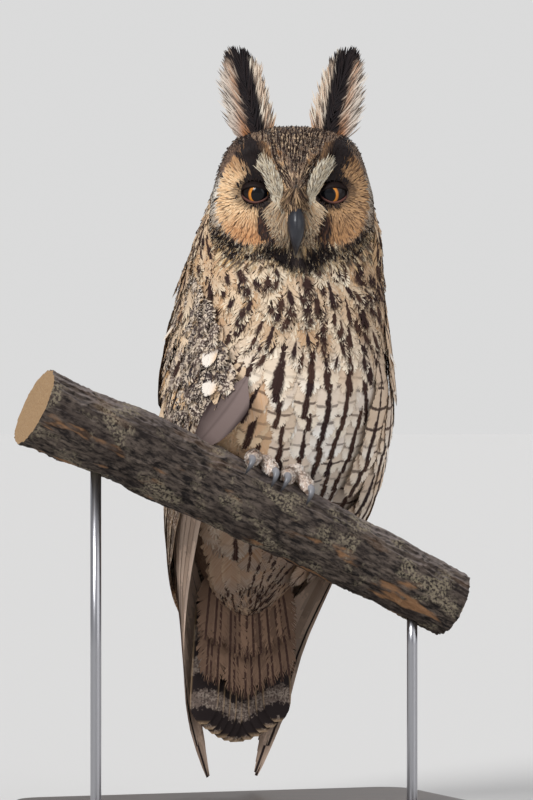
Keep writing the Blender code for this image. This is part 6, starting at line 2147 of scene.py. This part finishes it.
class OWL_OT_perch(Operator):
    """Makes the perch and its stand"""

    bl_idname = "owl.perch"
    bl_label = "Perch and stand"

    def execute(self, context):
        g = context.scene.owl.perch
        make_mesh("bark_perch", make_perch(g), bark_material("bark"), ("perch",))
        make_mesh("base", make_base(g), wood_material("stained_wood", g.stain), ("stand_base",))
        steel = Shader("rod_steel", 0.28, 0.5, Metallic=1.0)
        steel.colour(tuple(linear(176, 176, 180)))
        for number, along in enumerate((-0.125, 0.080)):
            name = "stand_rod_%d" % (number + 1)
            make_mesh("rod_%d" % (number + 1), make_rod(along), steel.material, (name,))
        return {"FINISHED"}


class OWL_OT_stage(Operator):
    """Sets the camera, lights and floor"""

    bl_idname = "owl.stage"
    bl_label = "Stage"

    def execute(self, context):
        g = context.scene.owl.stage
        scene = context.scene
        turn = np.linspace(0, 2 * math.pi, 64, endpoint=False)
        rim = np.column_stack([30 * np.cos(turn), 30 * np.sin(turn), np.full(64, -0.0004)])
        floor = bpy.data.meshes.new("floor")
        floor.from_pydata([tuple(point) for point in rim], [], [tuple(range(64))])
        floor = bpy.data.objects.new("floor", floor)
        scene.collection.objects.link(floor)
        paint = Shader("floor", 0.9, 0.1)
        paint.colour((0.60, 0.595, 0.585))
        floor.data.materials.append(paint.material)
        lamps = (("key", (-1.5, -2.2, 2.2), 24, g.key), ("fill", (2.2, -1.6, 1.2), 50, g.key * 0.22), ("rim", (0.9, 2.0, 1.7), 30, g.key * 0.5))
        lit = []
        for name, place, spread, power in lamps:
            lamp = bpy.data.lights.new(name, "SUN")
            lamp.angle, lamp.energy = math.radians(spread), power
            obj = bpy.data.objects.new(name, lamp)
            obj.location = place
            way = np.array([0.0, 0.0, 0.22]) - np.array(place)
            obj.rotation_euler = (math.atan2(math.hypot(way[0], way[1]), -way[2]), 0.0, math.atan2(-way[0], way[1]))
            scene.collection.objects.link(obj)
            lit.append(power * -way[2] / np.linalg.norm(way))
        world = bpy.data.worlds.new("studio")
        world.use_nodes = True
        nodes, links = world.node_tree.nodes, world.node_tree.links
        light = nodes["Background"]
        light.inputs["Color"].default_value = (0.95, 0.96, 1.0, 1.0)
        light.inputs["Strength"].default_value = g.world
        seen = nodes.new("ShaderNodeBackground")
        flat = 0.595 * (g.world * 0.96 + sum(lit) / math.pi)
        seen.inputs["Color"].default_value = (flat, flat, flat, 1.0)
        choose, path = nodes.new("ShaderNodeMixShader"), nodes.new("ShaderNodeLightPath")
        links.new(path.outputs["Is Camera Ray"], choose.inputs[0])
        links.new(light.outputs[0], choose.inputs[1])
        links.new(seen.outputs[0], choose.inputs[2])
        links.new(choose.outputs[0], nodes["World Output"].inputs["Surface"])
        scene.world = world
        camera = bpy.data.cameras.new("camera")
        camera.sensor_fit = "VERTICAL"
        camera.sensor_height = 36.0
        camera.lens = 36.0 * g.distance / g.frame_high
        obj = bpy.data.objects.new("camera", camera)
        obj.location = (0.0083, -g.distance, 0.2373)
        obj.rotation_euler = (math.radians(90), 0.0, 0.0)
        scene.collection.objects.link(obj)
        scene.camera = obj
        scene.view_settings.view_transform = "Standard"
        return {"FINISHED"}


class OWL_PT_panel(Panel):
    """The owl's settings and steps in the sidebar"""

    bl_label = "Owl"
    bl_idname = "OWL_PT_panel"
    bl_space_type = "VIEW_3D"
    bl_region_type = "UI"
    bl_category = "Owl"

    def draw(self, context):
        owl = context.scene.owl
        for group, names in (
            (owl.coat, ("depth", "row_gap", "gap", "mark_count", "hair_gap", "brow_count", "bristle_count", "tuft_hairs")),
            (owl.eye, ("iris", "pupil", "ring", "pitch", "gaze_right", "gaze_left")),
            (owl.perch, ("bark_depth", "stain", "bill", "claw")),
            (owl.stage, ("distance", "frame_high", "key", "world")),
        ):
            box = self.layout.box()
            for name in names:
                box.prop(group, name)
        for operator in OPERATORS:
            self.layout.operator(operator.bl_idname)


OPERATORS = (
    OWL_OT_skin,
    OWL_OT_coat,
    OWL_OT_face,
    OWL_OT_eyes,
    OWL_OT_bill,
    OWL_OT_tufts,
    OWL_OT_wings,
    OWL_OT_feet,
    OWL_OT_perch,
    OWL_OT_stage,
)
GROUPS = (OwlCoatSettings, OwlEyeSettings, OwlPerchSettings, OwlStageSettings, OwlSettings)


def register():
    for part in (*GROUPS, *OPERATORS, OWL_PT_panel):
        bpy.utils.register_class(part)
    bpy.types.Scene.owl = PointerProperty(type=OwlSettings)


def unregister():
    del bpy.types.Scene.owl
    for part in reversed((*GROUPS, *OPERATORS, OWL_PT_panel)):
        bpy.utils.unregister_class(part)


def main():
    register()
    bpy.ops.owl.skin()
    bpy.ops.owl.coat()
    bpy.ops.owl.face()
    bpy.ops.owl.eyes()
    bpy.ops.owl.bill()
    bpy.ops.owl.tufts()
    bpy.ops.owl.wings()
    bpy.ops.owl.feet()
    bpy.ops.owl.perch()
    bpy.ops.owl.stage()


if __name__ == "__main__":
    main()
